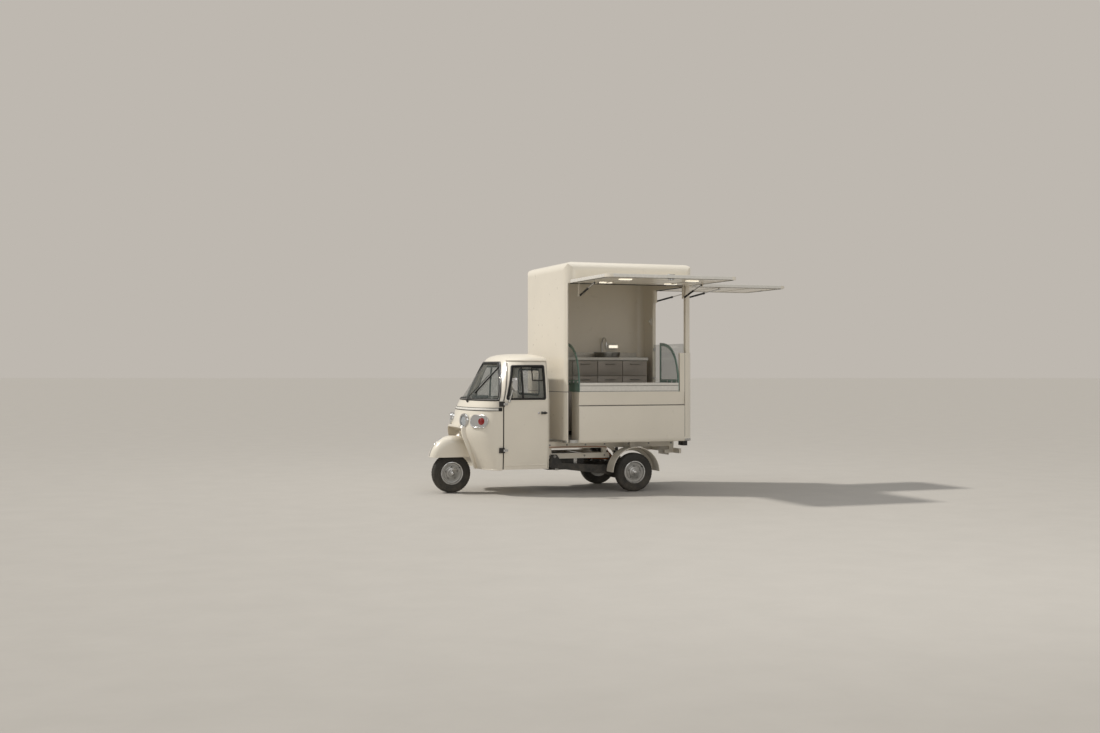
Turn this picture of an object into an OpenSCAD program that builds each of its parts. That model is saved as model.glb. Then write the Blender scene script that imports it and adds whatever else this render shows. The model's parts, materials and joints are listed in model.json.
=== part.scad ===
// Electric cargo tricycle: a light three-wheeled van with a closed cab and a tall sales body.
// X runs rearward from the front wheel, Y to the vehicle's right, Z up from the floor. Millimetres.

/* [Running gear] */
// Distance between the front and the rear axle
wheelbase = 2120; // [1900:10:2400]
// Distance between the middle planes of the rear tyres
rear_track = 1160; // [1040:10:1260]
// Outside diameter of a tyre
tyre_d = 468; // [430:2:500]
// Width of a tyre
tyre_w = 116; // [100:2:130]
// Diameter of the wheel disc's rim
rim_d = 272; // [250:2:300]
// Radius of a stub axle
stub_r = 16; // [12:0.5:22]
// Rake of the steering axis from upright, degrees
rake = 18; // [10:1:22]
// Distance of the steering axis on the floor ahead of the front contact patch
trail = 75; // [50:5:100]
// Radius of the front mudguard's crown, seen from the side
guard_r = 288; // [270:2:320]
// Half width of the front mudguard
guard_half_w = 122; // [100:2:140]

/* [Cab] */
// Bottom edge of the cab
cab_bottom = 300; // [240:5:360]
// Height of the belt line, at the foot of the windscreen
belt_z = 1105; // [1050:5:1160]
// Height at which the roof panel starts
cab_eave = 1566; // [1520:2:1600]
// Rear face of the cab
cab_rear = 1010; // [960:5:1060]
// Thickness of the cab's outer panels
cab_skin = 26; // [15:1:40]
// Thickness of the windscreen pillars
pillar_skin = 17; // [12:1:30]
// Front edge of the doors below the belt line
door_front = 440; // [400:5:480]
// Rear edge of the doors
door_rear = 1000; // [950:5:1040]
// Gap round each door
door_gap = 5; // [4:0.5:8]
// Roundness of the nose in plan; two is an ellipse
nose_n = 2.15; // [1.8:0.05:3]

/* [Sales body] */
// Front face of the sales body
box_front = 1195; // [1100:5:1300]
// Rear face of the sales body
box_rear = 2850; // [2700:5:3000]
// Half width of the sales body
box_half_w = 745; // [650:5:800]
// Underside of the sales body
box_bottom = 605; // [560:5:650]
// Top of the roof
box_top = 2747; // [2500:5:2900]
// Thickness of the walls
wall = 40; // [25:1:60]
// Radius of the upright corners
corner_r = 120; // [80:5:160]
// Radius of the roof's long edges
eave_r = 112; // [80:2:150]
// Radius of the roof's front and rear edges
brow_r = 104; // [80:2:150]
// Height of the roof panel
roof_h = 257; // [200:1:320]
// Top of the lower walls
sill_z = 1210; // [1150:5:1260]
// Top of the counter
counter_z = 1310; // [1260:5:1360]
// Height of the worktop along the right wall
worktop_z = 1622; // [1500:2:1700]
// Height of the left rear pillar
post_z = 1672; // [1600:2:1750]
// Top of the glass in the rear opening
rear_glass_z = 1790; // [1700:5:1850]
// Distance of the left serving opening from the front face
open_in0 = 30; // [20:5:200]
// Distance of the left serving opening from the rear face
open_in1 = 186; // [150:2:260]
// Distance of the rear opening from the left side
back_in0 = 145; // [130:5:250]
// Distance of the rear opening from the right side
back_in1 = 379; // [200:1:450]
// Gap between the lower front wall and the side panel's front edge, from the front face
panel_in = 162; // [140:1:200]

/* [Hatches] */
// Distance of a hatch's hinge line outside the wall
hinge_out = 15; // [12:0.5:25]
// Height of the hinge lines above the roof panel's lower edge
hinge_up = 8; // [6:0.5:20]
// Thickness of a hatch
hatch_t = 34; // [20:1:50]
// Length of the left hatch from its hinge line
left_len = 1135; // [1000:5:1200]
// Length of the rear hatch from its hinge line
rear_len = 1335; // [1200:5:1400]
// Distance of the left hatch from the front face
left_in0 = 38; // [20:1:100]
// Distance of the left hatch from the rear face
left_in1 = 4; // [0:1:100]
// Distance of a strut's upper eye from the hinge line
strut_b = 420; // [350:5:500]
// Depth of a strut's lower eye below the hinge line
strut_a = 150; // [120:2:250]
// Depth of the eyes inside the hinge line
strut_in = 30; // [24:1:50]
// Radius of a strut's tube
tube_r = 11; // [8:0.5:14]
// Radius of a strut's rod
rod_r = 6; // [4:0.5:8]

/* [Hidden] */
$fn = 48;
paint = [0.87, 0.84, 0.77];
dark = [0.07, 0.07, 0.07];
steel = [0.62, 0.62, 0.62];
bright = [0.85, 0.85, 0.85];
glass = [0.55, 0.65, 0.62, 0.35];
tyre_r = tyre_d / 2;
axle_z = tyre_r;
box_mid = (box_front + box_rear) / 2;
roof_z = box_top - roof_h;
open_x0 = box_front + open_in0;
right_x0 = box_front + corner_r + 15;
open_x1 = box_rear - open_in1;
back_y0 = back_in0 - box_half_w;
back_y1 = box_half_w - back_in1;
panel_x0 = box_front + panel_in;
panel_x1 = box_rear - corner_r;
in_y = box_half_w - wall;
floor_z = box_bottom + 35;
left_x0 = box_front + left_in0;
left_x1 = box_rear - left_in1;
hinge_y = -(box_half_w + hinge_out);
hinge_x = box_rear + hinge_out;
hinge_z = roof_z + hinge_up;
left_hinge_xs = [box_front + 225, (box_front + box_rear + 35) / 2, box_rear - 190];
rear_hinge_ys = [back_y0 + 120, back_y1 - 126];
rail_y = 330;
head_r = 40;
rail_end = box_rear - 90;
// Door hinge pins stand just outside the skin at the door's front edge
door_pin_x = door_front + 12;
door_pin_y = 660 + 16;
door_pin_zs = [532, 1070];

// Cab surface: front on the centre line, half width, start of the front curve and door front edge, by height
function front_x(z) = lookup(z, [[300, 230], [400, 178], [500, 128], [600, 82], [690, 48], [760, 40], [820, 50], [870, 68],
    [930, 92], [980, 112], [1040, 140], [1105, 182], [1250, 271], [1400, 363], [1566, 465], [1600, 494], [1630, 540],
    [1648, 610], [1658, 700]]);
function half_w(z) = lookup(z, [[300, 636], [420, 650], [600, 658], [900, 660], [1105, 660], [1250, 642], [1400, 614],
    [1566, 572], [1600, 552], [1630, 500], [1648, 410], [1658, 290]]);
function curve_x(z) = lookup(z, [[300, 440], [1105, 440], [1566, 800], [1658, 860]]);
function door_x(z) = lookup(z, [[300, 440], [1105, 440], [1566, 556]]);
function rear_x(z) = lookup(z, [[300, 1010], [1566, 1010], [1600, 1004], [1630, 975], [1648, 930], [1658, 880]]);
// Angle round the nose at which the surface reaches a given X
function edge_a(z, x) = x >= curve_x(z) ? 90 : acos(pow((curve_x(z) - x) / (curve_x(z) - front_x(z)), nose_n / 2));
function nose_p(z, a, d) = [curve_x(z) - (curve_x(z) - front_x(z) - d) * pow(abs(cos(a)), 2 / nose_n),
    sign(a) * (half_w(z) - d) * pow(abs(sin(a)), 2 / nose_n), z];
function side_y(x, z, d) = x >= curve_x(z) ? half_w(z) - d
    : (half_w(z) - d) * pow(1 - pow((curve_x(z) - x) / (curve_x(z) - front_x(z) - d), nose_n), 1 / nose_n);
// Faces of a thick sheet given as an outer and an inner grid of nr rows and nc columns
function sheet_faces(nr, nc) = let (k = nr * nc) [for (f = concat(
    [for (i = [0:nr - 2], j = [0:nc - 2]) each [[i * nc + j, (i + 1) * nc + j, (i + 1) * nc + j + 1],
        [i * nc + j, (i + 1) * nc + j + 1, i * nc + j + 1]]],
    [for (i = [0:nr - 2], j = [0:nc - 2]) each [[k + i * nc + j, k + (i + 1) * nc + j + 1, k + (i + 1) * nc + j],
        [k + i * nc + j, k + i * nc + j + 1, k + (i + 1) * nc + j + 1]]],
    [for (j = [0:nc - 2]) each [[j, j + 1, k + j + 1], [j, k + j + 1, k + j]]],
    [for (j = [0:nc - 2]) let (o = (nr - 1) * nc) each [[o + j, k + o + j, k + o + j + 1],
        [o + j, k + o + j + 1, o + j + 1]]],
    [for (i = [0:nr - 2]) each [[i * nc, k + i * nc, k + (i + 1) * nc], [i * nc, k + (i + 1) * nc, (i + 1) * nc]]],
    [for (i = [0:nr - 2]) let (o = nc - 1) each [[i * nc + o, (i + 1) * nc + o, k + (i + 1) * nc + o],
        [i * nc + o, k + (i + 1) * nc + o, k + i * nc + o]]])) [f[2], f[1], f[0]]];
// Sheet of the nose between rows zs, reaching back to the door edge less back, between depths d0 and d1
module nose_sheet(zs, back, d0, d1, cols) {
    pts = [for (d = [d0, d1], z = zs, j = [0:cols]) let (e = edge_a(z, door_x(z) - back)) nose_p(z, -e + 2 * e * j / cols, d)];
    polyhedron(points = pts, faces = sheet_faces(len(zs), cols + 1), convexity = 6);
}
// Sheet of one cab side, as nose_sheet but along X; s is -1 for the left side
module side_sheet(zs, f0, f1, d0, d1, cols, s) {
    pts = [for (d = s < 0 ? [d0, d1] : [d1, d0], z = zs, j = [0:cols])
        let (xa = door_x(z) + f0, x = xa + (f1 - xa) * j / cols) [x, s * side_y(x, z, d), z]];
    polyhedron(points = pts, faces = [for (f = sheet_faces(len(zs), cols + 1)) [f[2], f[1], f[0]]], convexity = 6);
}
// Solid rod between two points
module rod(a, b, r) {
    v = b - a;
    l = norm(v);
    translate(a) rotate([0, acos(v[2] / l), atan2(v[1], v[0])]) cylinder(r = r, h = l);
}
module rrect(w, h, r) {
    square([w - 2 * r, h], center = true);
    square([w, h - 2 * r], center = true);
    for (x = [-1, 1], y = [-1, 1]) translate([x * (w / 2 - r), y * (h / 2 - r)]) circle(r);
}
module slab(x0, x1, y0, y1, z0, z1) { translate([x0, y0, z0]) cube([x1 - x0, y1 - y0, z1 - z0]); }
// Places children upright on the steering axis, at its foot on the floor
module on_steering() { translate([-trail, 0, 0]) rotate([0, rake, 0]) children(); }
function steer_p(l) = [-trail + l * sin(rake), 0, l * cos(rake)];

// Rounded outline of the sales body, inset by d
module box_solid(d) {
    intersection() {
        translate([box_mid, 0, box_bottom - 20]) linear_extrude(box_top - box_bottom + 40)
            rrect(box_rear - box_front - 2 * d, 2 * (box_half_w - d), corner_r - d);
        translate([box_front - 20, 0, 0]) rotate([90, 0, 90]) linear_extrude(box_rear - box_front + 40)
            translate([0, box_top / 2 - d]) rrect(2 * (box_half_w - d), box_top, eave_r - d);
        translate([0, box_half_w + 20, 0]) rotate([90, 0, 0]) linear_extrude(2 * box_half_w + 40)
            translate([box_mid, box_top / 2 - d]) rrect(box_rear - box_front - 2 * d, box_top, brow_r - d);
    }
}
module box_walls(z0, z1) {
    translate([box_mid, 0, z0]) linear_extrude(z1 - z0) difference() {
        rrect(box_rear - box_front, 2 * box_half_w, corner_r);
        rrect(box_rear - box_front - 2 * wall, 2 * (box_half_w - wall), corner_r - wall);
    }
}

// Chassis
module chassis_frame() {
    color(paint) {
        for (s = [-1, 1]) {
            slab(cab_rear, rail_end, s * rail_y - 35, s * rail_y + 35, box_bottom - 82, box_bottom);
            slab(cab_rear, wheelbase - 220, s * rail_y - 28, s * rail_y + 28, 400, 462);
            for (x = [cab_rear + 90, wheelbase - 310]) slab(x, x + 50, s * rail_y - 24, s * rail_y + 24, 460, box_bottom - 80);
        }
        for (x = [cab_rear + 90, wheelbase - 560, wheelbase - 260, wheelbase + 280, rail_end - 70])
            slab(x, x + 60, -rail_y + 33, rail_y - 33, box_bottom - 70, box_bottom - 10);
        for (x = [cab_rear + 90, wheelbase - 560, wheelbase - 310]) slab(x, x + 50, -rail_y + 26, rail_y - 26, 408, 454);
    }
}
module battery_block() { color(dark) slab(cab_rear + 120, cab_rear + 580, -290, 290, 262, 408); }
module drive_unit() {
    color(dark) {
        translate([wheelbase, 0, axle_z]) rotate([90, 0, 0]) {
            cylinder(r = 34, h = rear_track - 190, center = true);
            translate([0, 0, -60]) cylinder(r = 105, h = 200, center = true);
            translate([0, 0, 90]) cylinder(r = 82, h = 120, center = true);
        }
        for (s = [-1, 1]) translate([wheelbase, s * (rear_track / 2 - 95), axle_z]) rotate([-s * 90, 0, 0])
            cylinder(r = stub_r - 0.05, h = 98);
    }
}
module trailing_arms() {
    color(dark) for (s = [-1, 1]) difference() {
        translate([0, s * 400 + 26, 0]) rotate([90, 0, 0]) linear_extrude(52)
            polygon(concat([for (p = [[80, 340], [126, 452], [184, 452], [250, 352]]) [cab_rear + p[0], p[1]]],
                [for (p = [[-80, 66], [50, 62], [70, 0], [50, -54], [-60, -58]]) [wheelbase + p[0], axle_z + p[1]]], [[cab_rear + 110, 296]]));
        translate([wheelbase, s * 400, axle_z]) rotate([90, 0, 0]) cylinder(r = 34, h = 80, center = true);
    }
    color(dark) for (s = [-1, 1]) {
        translate([cab_rear + 155, s * 392, 431]) rotate([90, 0, 0]) cylinder(r = 21, h = 68, center = true);
        translate([wheelbase - 130, s * 372, 295]) cylinder(r = 18, h = box_bottom - 377);
        translate([wheelbase - 130, s * 372, 340]) cylinder(r = 32, h = 140);
    }
}
module rear_mudguards() {
    color(paint) for (s = [-1, 1]) translate([wheelbase, s * rear_track / 2, axle_z]) rotate([90, 0, 0]) {
        linear_extrude(190, center = true) difference() {
            circle(306, $fn = 64);
            circle(300, $fn = 64);
            translate([-400, -800]) square([800, 800]);
            translate([-400, -400]) square([800, 408]);
        }
        translate([-30, 298, s > 0 ? 20 : -60]) cube([60, box_bottom - axle_z - 298, 40]);
        translate([0, 0, s > 0 ? 89 : -95]) linear_extrude(6) difference() {
            circle(306, $fn = 64);
            circle(255, $fn = 64);
            translate([-400, -392]) square([800, 400]);
        }
    }
}
module rear_bumper() {
    color(paint) {
        for (s = [-1, 1]) {
            slab(rail_end - 60, rail_end, s * rail_y - 30, s * rail_y + 30, box_bottom - 165, box_bottom - 82);
            slab(rail_end - 120, rail_end - 60, s * rail_y - 30, s * rail_y + 30, box_bottom - 165, box_bottom - 125);
        }
        slab(rail_end, rail_end + 30, -520, 520, box_bottom - 165, box_bottom - 105);
    }
    color(paint) difference() {
        slab(rail_end + 30, rail_end + 36, -150, 150, box_bottom - 205, box_bottom - 75);
        for (y = [-60, 60]) translate([rail_end + 20, y, box_bottom - 140]) rotate([0, 90, 0]) cylinder(r = 3.5, h = 40);
    }
}
module tail_lamps() {
    color([0.6, 0.05, 0.04]) for (s = [-1, 1]) {
        slab(box_rear - 105, box_rear - 50, s * (box_half_w - 145) - 70, s * (box_half_w - 145) + 70, box_bottom - 60, box_bottom);
        translate([box_rear - 51, s * (box_half_w - 145), box_bottom - 30]) rotate([0, 90, 0]) cylinder(r = 26, h = 15);
    }
}

// Cab
nose_zs = [300, 350, 400, 450, 500, 560, 620, 680, 740, 800, 850, 900, 945, 990, 1030, 1068, 1105];
module wheel_well(r, top) { on_steering() translate([0, 0, 80]) cylinder(r = r, h = top - 80, $fn = 96); }
module cab_nose() {
    color(paint) difference() {
        union() {
            nose_sheet(nose_zs, 0, 0, cab_skin, 24);
            intersection() {
                nose_sheet([300, 350, 400, 450, 500, 560, 620, 680, 740, 800, 850], 60, -34, 8, 24);
                wheel_well(334, 806);
            }
        }
        wheel_well(308, 780);
        for (s = [-1, 1]) at_lamp(s) {
            cylinder(r = 72.4, h = 120, center = true);
            translate([0, 0, 20]) cylinder(r = 84.5, h = 100);
        }
    }
}
module cab_floor() {
    color(paint) {
        difference() {
            union() {
                translate([0, 0, cab_bottom + 2]) linear_extrude(24) polygon(concat(
                    [for (j = [0:20]) let (p = nose_p(301, -80 + 8 * j, cab_skin + 1)) [p[0], p[1]]],
                    [[432, 592], [984, 592], [984, -592], [432, -592]]));
                on_steering() translate([0, 0, 300]) cylinder(r = 316, h = 488, $fn = 96);
                on_steering() translate([0, 0, 785]) cylinder(r = 66, h = 105);
            }
            wheel_well(308, 780);
            on_steering() cylinder(r = head_r + 0.05, h = 1000);
            slab(-600, 900, -900, 900, 0, cab_bottom + 2);
            difference() {
                slab(-600, 700, -700, 700, 290, 1100);
                nose_fill(cab_skin + 1);
            }
        }
    }
}
// Solid inside of the nose
module nose_fill(d) {
    n = 24;
    zs = [for (z = nose_zs) z];
    k = len(zs);
    pts = concat([for (z = zs, j = [0:n]) nose_p(z, -90 + 180 * j / n, d)], [for (z = zs) each [[985, half_w(z) - d, z], [985, -(half_w(z) - d), z]]]);
    m = n + 3;
    function at(i, j) = j <= n ? i * (n + 1) + j : k * (n + 1) + 2 * i + j - n - 1;
    polyhedron(points = pts, faces = concat([[for (j = [m - 1:-1:0]) at(0, j)], [for (j = [0:m - 1]) at(k - 1, j)]],
        [for (i = [0:k - 2], j = [0:m - 1]) let (q = (j + 1) % m) each [[at(i, j), at(i + 1, q), at(i + 1, j)], [at(i, j), at(i, q), at(i + 1, q)]]]),
        convexity = 6);
}
screen_zs = [1105, 1126, 1200, 1280, 1360, 1440, 1500, 1546, 1566];
module cab_pillars() {
    color(paint) for (s = [-1, 1]) {
        pts = [for (d = s < 0 ? [0, pillar_skin] : [pillar_skin, 0], z = screen_zs, j = [0:3])
            let (xa = nose_p(z, edge_a(z, door_x(z) - 40), d)[0], x = xa + (door_x(z) - xa) * j / 3) [x, s * side_y(x, z, d), z]];
        polyhedron(points = pts, faces = [for (f = sheet_faces(len(screen_zs), 4)) [f[2], f[1], f[0]]]);
    }
}
// Solid of the roof, inset by d
module roof_solid(zs, d) {
    n = 24;
    m = n + 3;
    k = len(zs);
    pts = [for (z = zs) each concat([for (j = [0:n]) nose_p(z, -90 + 180 * j / n, d)],
        [[rear_x(z) - d, half_w(z) - d, z], [rear_x(z) - d, -(half_w(z) - d), z]])];
    polyhedron(points = [for (p = pts) [p[0], p[1], p[2] - (p[2] > 1570 ? d : 0)]], faces = concat([[for (j = [m - 1:-1:0]) j], [for (j = [0:m - 1]) (k - 1) * m + j]],
        [for (i = [0:k - 2], j = [0:m - 1]) let (q = (j + 1) % m) each [[i * m + j, (i + 1) * m + q, (i + 1) * m + j],
            [i * m + j, i * m + q, (i + 1) * m + q]]]), convexity = 4);
}
module cab_roof() {
    color(paint) difference() {
        roof_solid([1566, 1583, 1600, 1615, 1630, 1640, 1648, 1654, 1658], 0);
        roof_solid([1560, 1600, 1630, 1648, 1658], cab_skin);
    }
}
module wall_outline(d) {
    zs = [300, 420, 600, 900, 1105, 1250, 1400, 1566];
    polygon(concat([for (z = zs) [half_w(z) - d, z]], [for (i = [len(zs) - 1:-1:0]) [-half_w(zs[i]) + d, zs[i]]]));
}
module cab_rear_wall() {
    color(paint) difference() {
        union() {
            translate([cab_rear - cab_skin, 0, 0]) rotate([90, 0, 90]) linear_extrude(cab_skin) wall_outline(42);
            translate([cab_rear - 9, 0, 0]) rotate([90, 0, 90]) linear_extrude(9) wall_outline(1);
        }
        translate([cab_rear - 60, 0, 1320]) rotate([90, 0, 90]) linear_extrude(100) rrect(760, 300, 50);
    }
}
module cab_rear_window() {
    color(glass) translate([cab_rear - 16, 0, 1320]) rotate([90, 0, 90]) linear_extrude(6) rrect(760, 300, 50);
}
module windscreen() {
    color(glass) nose_sheet([1126, 1200, 1280, 1360, 1440, 1500, 1546], 64, 9, 15, 24);
}
module windscreen_seal() {
    color(dark) difference() {
        nose_sheet(screen_zs, 43, -3, 20, 24);
        nose_sheet([1126, 1200, 1280, 1360, 1440, 1500, 1546], 64, -30, 40, 24);
    }
}
module dashboard() {
    color([0.16, 0.16, 0.16]) difference() {
        intersection() {
            slab(100, 300, -560, 560, 950, 1050);
            nose_fill(cab_skin + 1);
        }
        on_steering() cylinder(r = 48, h = 1400);
    }
}
module seat_frame() {
    color(dark) {
        slab(690, 960, -480, 480, cab_bottom + 26, 640);
        slab(966, cab_rear - cab_skin, -440, 440, 700, 1060);
    }
}
module seat_cushion() { color([0.12, 0.11, 0.11]) translate([780, 0, 640]) linear_extrude(100) rrect(360, 1040, 40); }
module seat_backrest() {
    color([0.12, 0.11, 0.11]) translate([902, 0, 930]) rotate([90, 0, 90]) linear_extrude(64) rrect(1000, 350, 50);
}
// Places children on a headlamp's axis, local Z pointing forward
module at_lamp(s) { translate([118, s * 262, 868]) rotate([0, -90, -s * 14]) children(); }
// Places children on an indicator's axis, local Z pointing outward
module at_side_lamp(s) { translate([205, s * 500, 868]) rotate([0, -90, -s * 48]) children(); }
module lamp_housings() {
    color(bright) for (s = [-1, 1]) {
        at_lamp(s) {
            translate([0, 0, -30]) difference() {
                cylinder(r = 72, h = 80);
                translate([0, 0, 20]) cylinder(r = 64, h = 80);
            }
            translate([0, 0, 20]) difference() {
                cylinder(r = 84, h = 30);
                translate([0, 0, -1]) cylinder(r = 64, h = 40);
            }
        }
    }
    color(bright) difference() {
        intersection() {
            nose_sheet(nose_zs, 0, -14, -0.5, 24);
            for (s = [-1, 1]) at_side_lamp(s) translate([0, 0, -100]) linear_extrude(200) rotate(90) rrect(250, 150, 74);
        }
        for (s = [-1, 1]) {
            at_lamp(s) cylinder(r = 84.5, h = 400, center = true);
            at_side_lamp(s) translate([0, s * 44, -100]) cylinder(r = 40.5, h = 300);
        }
    }
}
module headlamp_lenses() {
    color([0.9, 0.9, 0.9, 0.6]) for (s = [-1, 1]) at_lamp(s) intersection() {
        translate([0, 0, -60]) sphere(r = 115);
        translate([0, 0, 30]) cylinder(r = 64, h = 60);
    }
}
module indicator_lenses() {
    color([0.75, 0.1, 0.06]) intersection() {
        nose_sheet(nose_zs, 0, -22, -0.5, 24);
        for (s = [-1, 1]) at_side_lamp(s) translate([0, s * 44, -100]) cylinder(r = 40, h = 300);
    }
}

// Sales body
module box_floor() {
    color(paint) translate([box_mid, 0, box_bottom]) linear_extrude(floor_z - box_bottom)
        rrect(box_rear - box_front - 2 * wall, 2 * in_y, corner_r - wall);
}
// Front of the body with both front corners; the left corner ends at the serving opening
module front_part(z0, z1) {
    intersection() {
        box_walls(z0, z1);
        union() {
            slab(box_front - 10, open_x0, -2000, 0, 0, 4000);
            slab(box_front - 10, right_x0, 0, 2000, 0, 4000);
        }
    }
}
module box_front_lower() { color(paint) front_part(box_bottom, sill_z - 3); }
module box_front_wall() { color(paint) front_part(sill_z - 3, roof_z); }
module box_right_wall() {
    color(paint) slab(right_x0, panel_x1, in_y, box_half_w, box_bottom, roof_z);
}
module box_rear_wall() {
    color(paint) difference() {
        intersection() {
            box_walls(box_bottom, roof_z);
            slab(panel_x1, box_rear + 10, -2000, 2000, 0, 4000);
        }
        slab(box_rear - wall - 20, box_rear + 60, back_y0, back_y1, sill_z, roof_z + 10);
        slab(panel_x1 - 200, box_rear + 60, -2000, back_y0 + 1, post_z, roof_z + 10);
    }
}
module box_roof() {
    color(paint) {
        difference() {
            intersection() {
                box_solid(0);
                slab(0, 5000, -2000, 2000, roof_z, 5000);
            }
            box_solid(wall);
        }
        for (x = left_hinge_xs) {
            translate([x, hinge_y, hinge_z]) rotate([0, 90, 0]) cylinder(r = 5, h = 120, center = true);
            for (e = [-60, 50]) slab(x + e, x + e + 10, hinge_y - 5, 10 - box_half_w, hinge_z - 6, hinge_z + 6);
        }
        for (y = rear_hinge_ys) {
            translate([hinge_x, y, hinge_z]) rotate([90, 0, 0]) cylinder(r = 5, h = 120, center = true);
            for (e = [-60, 50]) slab(box_rear - 10, hinge_x + 5, y + e, y + e + 10, hinge_z - 6, hinge_z + 6);
        }
    }
}
module hatch_post() {
    color(paint) translate([box_rear - 50, 95 - box_half_w, post_z]) linear_extrude(roof_z - post_z) rrect(60, 60, 12);
}
// Outline of the side panel, outward from the wall's inner face and up; rows below the ledge count from the bottom
module side_panel() {
    color(paint) {
        translate([panel_x0, 0, 0]) rotate([90, 0, 90]) linear_extrude(panel_x1 - panel_x0) translate([-box_half_w, 0])
            polygon([[14, box_bottom], [3, box_bottom + 17], [0, box_bottom + 45], [0, sill_z - 186], [4, sill_z - 174], [17, sill_z - 168],
                [3, sill_z - 4], [wall, sill_z - 4], [wall, box_bottom]]);
        slab(panel_x0, panel_x0 + 40, -in_y - 5, 210 - in_y, floor_z, sill_z - 4);
        slab(open_x1, panel_x1, -box_half_w, -in_y, sill_z - 5, post_z);
    }
}
module counter() {
    color([0.86, 0.85, 0.82]) translate([0, 1 - box_half_w, 0]) {
        slab(panel_x0 + 8, open_x1 - 18, 0, 364, counter_z - 30, counter_z);
        slab(panel_x0 + 8, open_x1 - 18, 0, 20, sill_z - 4, counter_z - 29);
    }
}
module back_cabinet() {
    x0 = right_x0 + 10;
    x1 = panel_x1 - 6;
    color([0.66, 0.64, 0.6]) {
        slab(x0, x1, in_y - 345, in_y - 325, floor_z, worktop_z - 30);
        for (x = [x0, (x0 + x1) / 2 - 12, x1 - 20]) slab(x, x + 20, in_y - 330, in_y, floor_z, worktop_z - 30);
        slab(x0 - 4, x1 + 4, in_y - 370, in_y, worktop_z - 32, worktop_z);
    }
}
// Outlines of a glass guard's frame, inward from the body's left side and up from the counter
guard_out = [[545, -26], [545, 493], [455, 491], [365, 480], [275, 456], [195, 415], [125, 356], [70, 280], [33, 190], [11, 110],
    [3, 35], [1, -104], [334, -104], [334, -26]];
guard_in = [[509, 40], [509, 456], [453, 453], [373, 443], [289, 421], [216, 383], [153, 330], [102, 261], [68, 179], [47, 103], [40, 40]];
guard_xs = [panel_x0, open_x1 - 18];
module guard_frames() {
    color([0.25, 0.36, 0.33]) for (x = guard_xs) translate([x, -box_half_w, counter_z]) rotate([90, 0, 90]) linear_extrude(8) difference() {
        polygon(guard_out);
        polygon(guard_in);
    }
}
module guard_glass() {
    color(glass) for (x = guard_xs) translate([x + 2, -box_half_w, counter_z]) rotate([90, 0, 90]) linear_extrude(4) polygon(guard_in);
}
module rear_glass() { color(glass) slab(box_rear - 26, box_rear - 18, back_y0, back_y1, sill_z, rear_glass_z); }
// Struts hang from plates under the roof's edge
left_strut_xs = [box_front + 177, box_rear - 118];
rear_strut_ys = [back_y0 + 25, back_y1 - 25];
module hinge_fittings() {
    color(dark) {
        for (z = door_pin_zs) intersection() {
            nose_sheet(nose_zs, 0, -16, -0.5, 24);
            for (s = [-1, 1]) slab(door_front - 46, door_front - 1, s * 670 - 40, s * 670 + 40, z - 30, z + 30);
        }
        for (s = [-1, 1], z = door_pin_zs) {
            for (e = [-30, 14]) slab(door_front - 8, door_pin_x, s * door_pin_y - 6, s * door_pin_y + 6, z + e, z + e + 16);
            translate([door_pin_x, s * door_pin_y, z - 30]) cylinder(r = 6, h = 60);
        }
    }
}
module strut_brackets() {
    color(paint) {
        for (x = left_strut_xs) {
            slab(x - 22, x - 16, -box_half_w, -in_y, hinge_z - strut_a - 16, roof_z);
            translate([x - 17, hinge_y + strut_in, hinge_z - strut_a]) rotate([0, 90, 0]) cylinder(r = 5.95, h = 27);
        }
        for (y = rear_strut_ys) {
            slab(box_rear - wall, box_rear, y - 22, y - 16, hinge_z - strut_a - 16, roof_z);
            translate([hinge_x - strut_in, y - 17, hinge_z - strut_a]) rotate([-90, 0, 0]) cylinder(r = 5.95, h = 27);
        }
    }
}

// Steering: one leg beside the wheel, bent at a knee and an ankle
fork_y = 88;
fork_knee = [70, fork_y, 560];
fork_ankle = [40, fork_y, 330];
module steering_fork() {
    color(dark) {
        on_steering() translate([0, 0, 730]) cylinder(r = 30, h = 460);
        rod(steer_p(740), steer_p(900), head_r);
        rod(steer_p(764), steer_p(774), 54);
        rod(steer_p(752), fork_knee, 24);
        translate(fork_knee) sphere(r = 25);
        rod(fork_knee, fork_ankle, 22);
        translate(fork_ankle) sphere(r = 24);
        rod(fork_ankle, [4, fork_y, axle_z + 8], 21);
        translate([0, 66, axle_z]) rotate([-90, 0, 0]) cylinder(r = 40, h = 56);
        translate([0, -40, axle_z]) rotate([-90, 0, 0]) cylinder(r = stub_r - 0.05, h = 110);
    }
}
module guard_section(d) {
    r = 92;
    translate([-1, -(guard_half_w - d)]) square([guard_r - d - r + 1, 2 * (guard_half_w - d)]);
    translate([-1, -(guard_half_w - r)]) square([guard_r - d + 1, 2 * (guard_half_w - r)]);
    for (s = [-1, 1]) translate([guard_r - r, s * (guard_half_w - r)]) circle(r - d);
}
module front_mudguard() {
    color(paint) difference() {
        union() {
            translate([20, 0, 395]) rotate([90, 0, 0]) rotate_extrude() intersection() {
                guard_section(0);
                translate([0, -300]) square([600, 600]);
            }
            on_steering() translate([0, 0, 640]) cylinder(r1 = 100, r2 = 52, h = 124);
        }
        translate([20, 0, 395]) rotate([90, 0, 0]) rotate_extrude() intersection() {
            guard_section(6);
            translate([0, -300]) square([600, 600]);
        }
        slab(-600, 700, -400, 400, 0, 430);
        on_steering() cylinder(r = 45, h = 1000);
        rod(steer_p(752), fork_knee, 29);
    }
}
bar_l = 1190;
module handlebar() {
    color(dark) {
        rod(steer_p(bar_l), steer_p(bar_l + 36), 40);
        for (s = [-1, 1]) {
            rod(steer_p(bar_l + 18), steer_p(bar_l + 18) + [60, s * 90, 0], 14);
            translate(steer_p(bar_l + 18) + [60, s * 90, 0]) sphere(r = 14);
            rod(steer_p(bar_l + 18) + [60, s * 90, 0], steer_p(bar_l + 18) + [100, s * 190, 0], 16);
        }
    }
}

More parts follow.
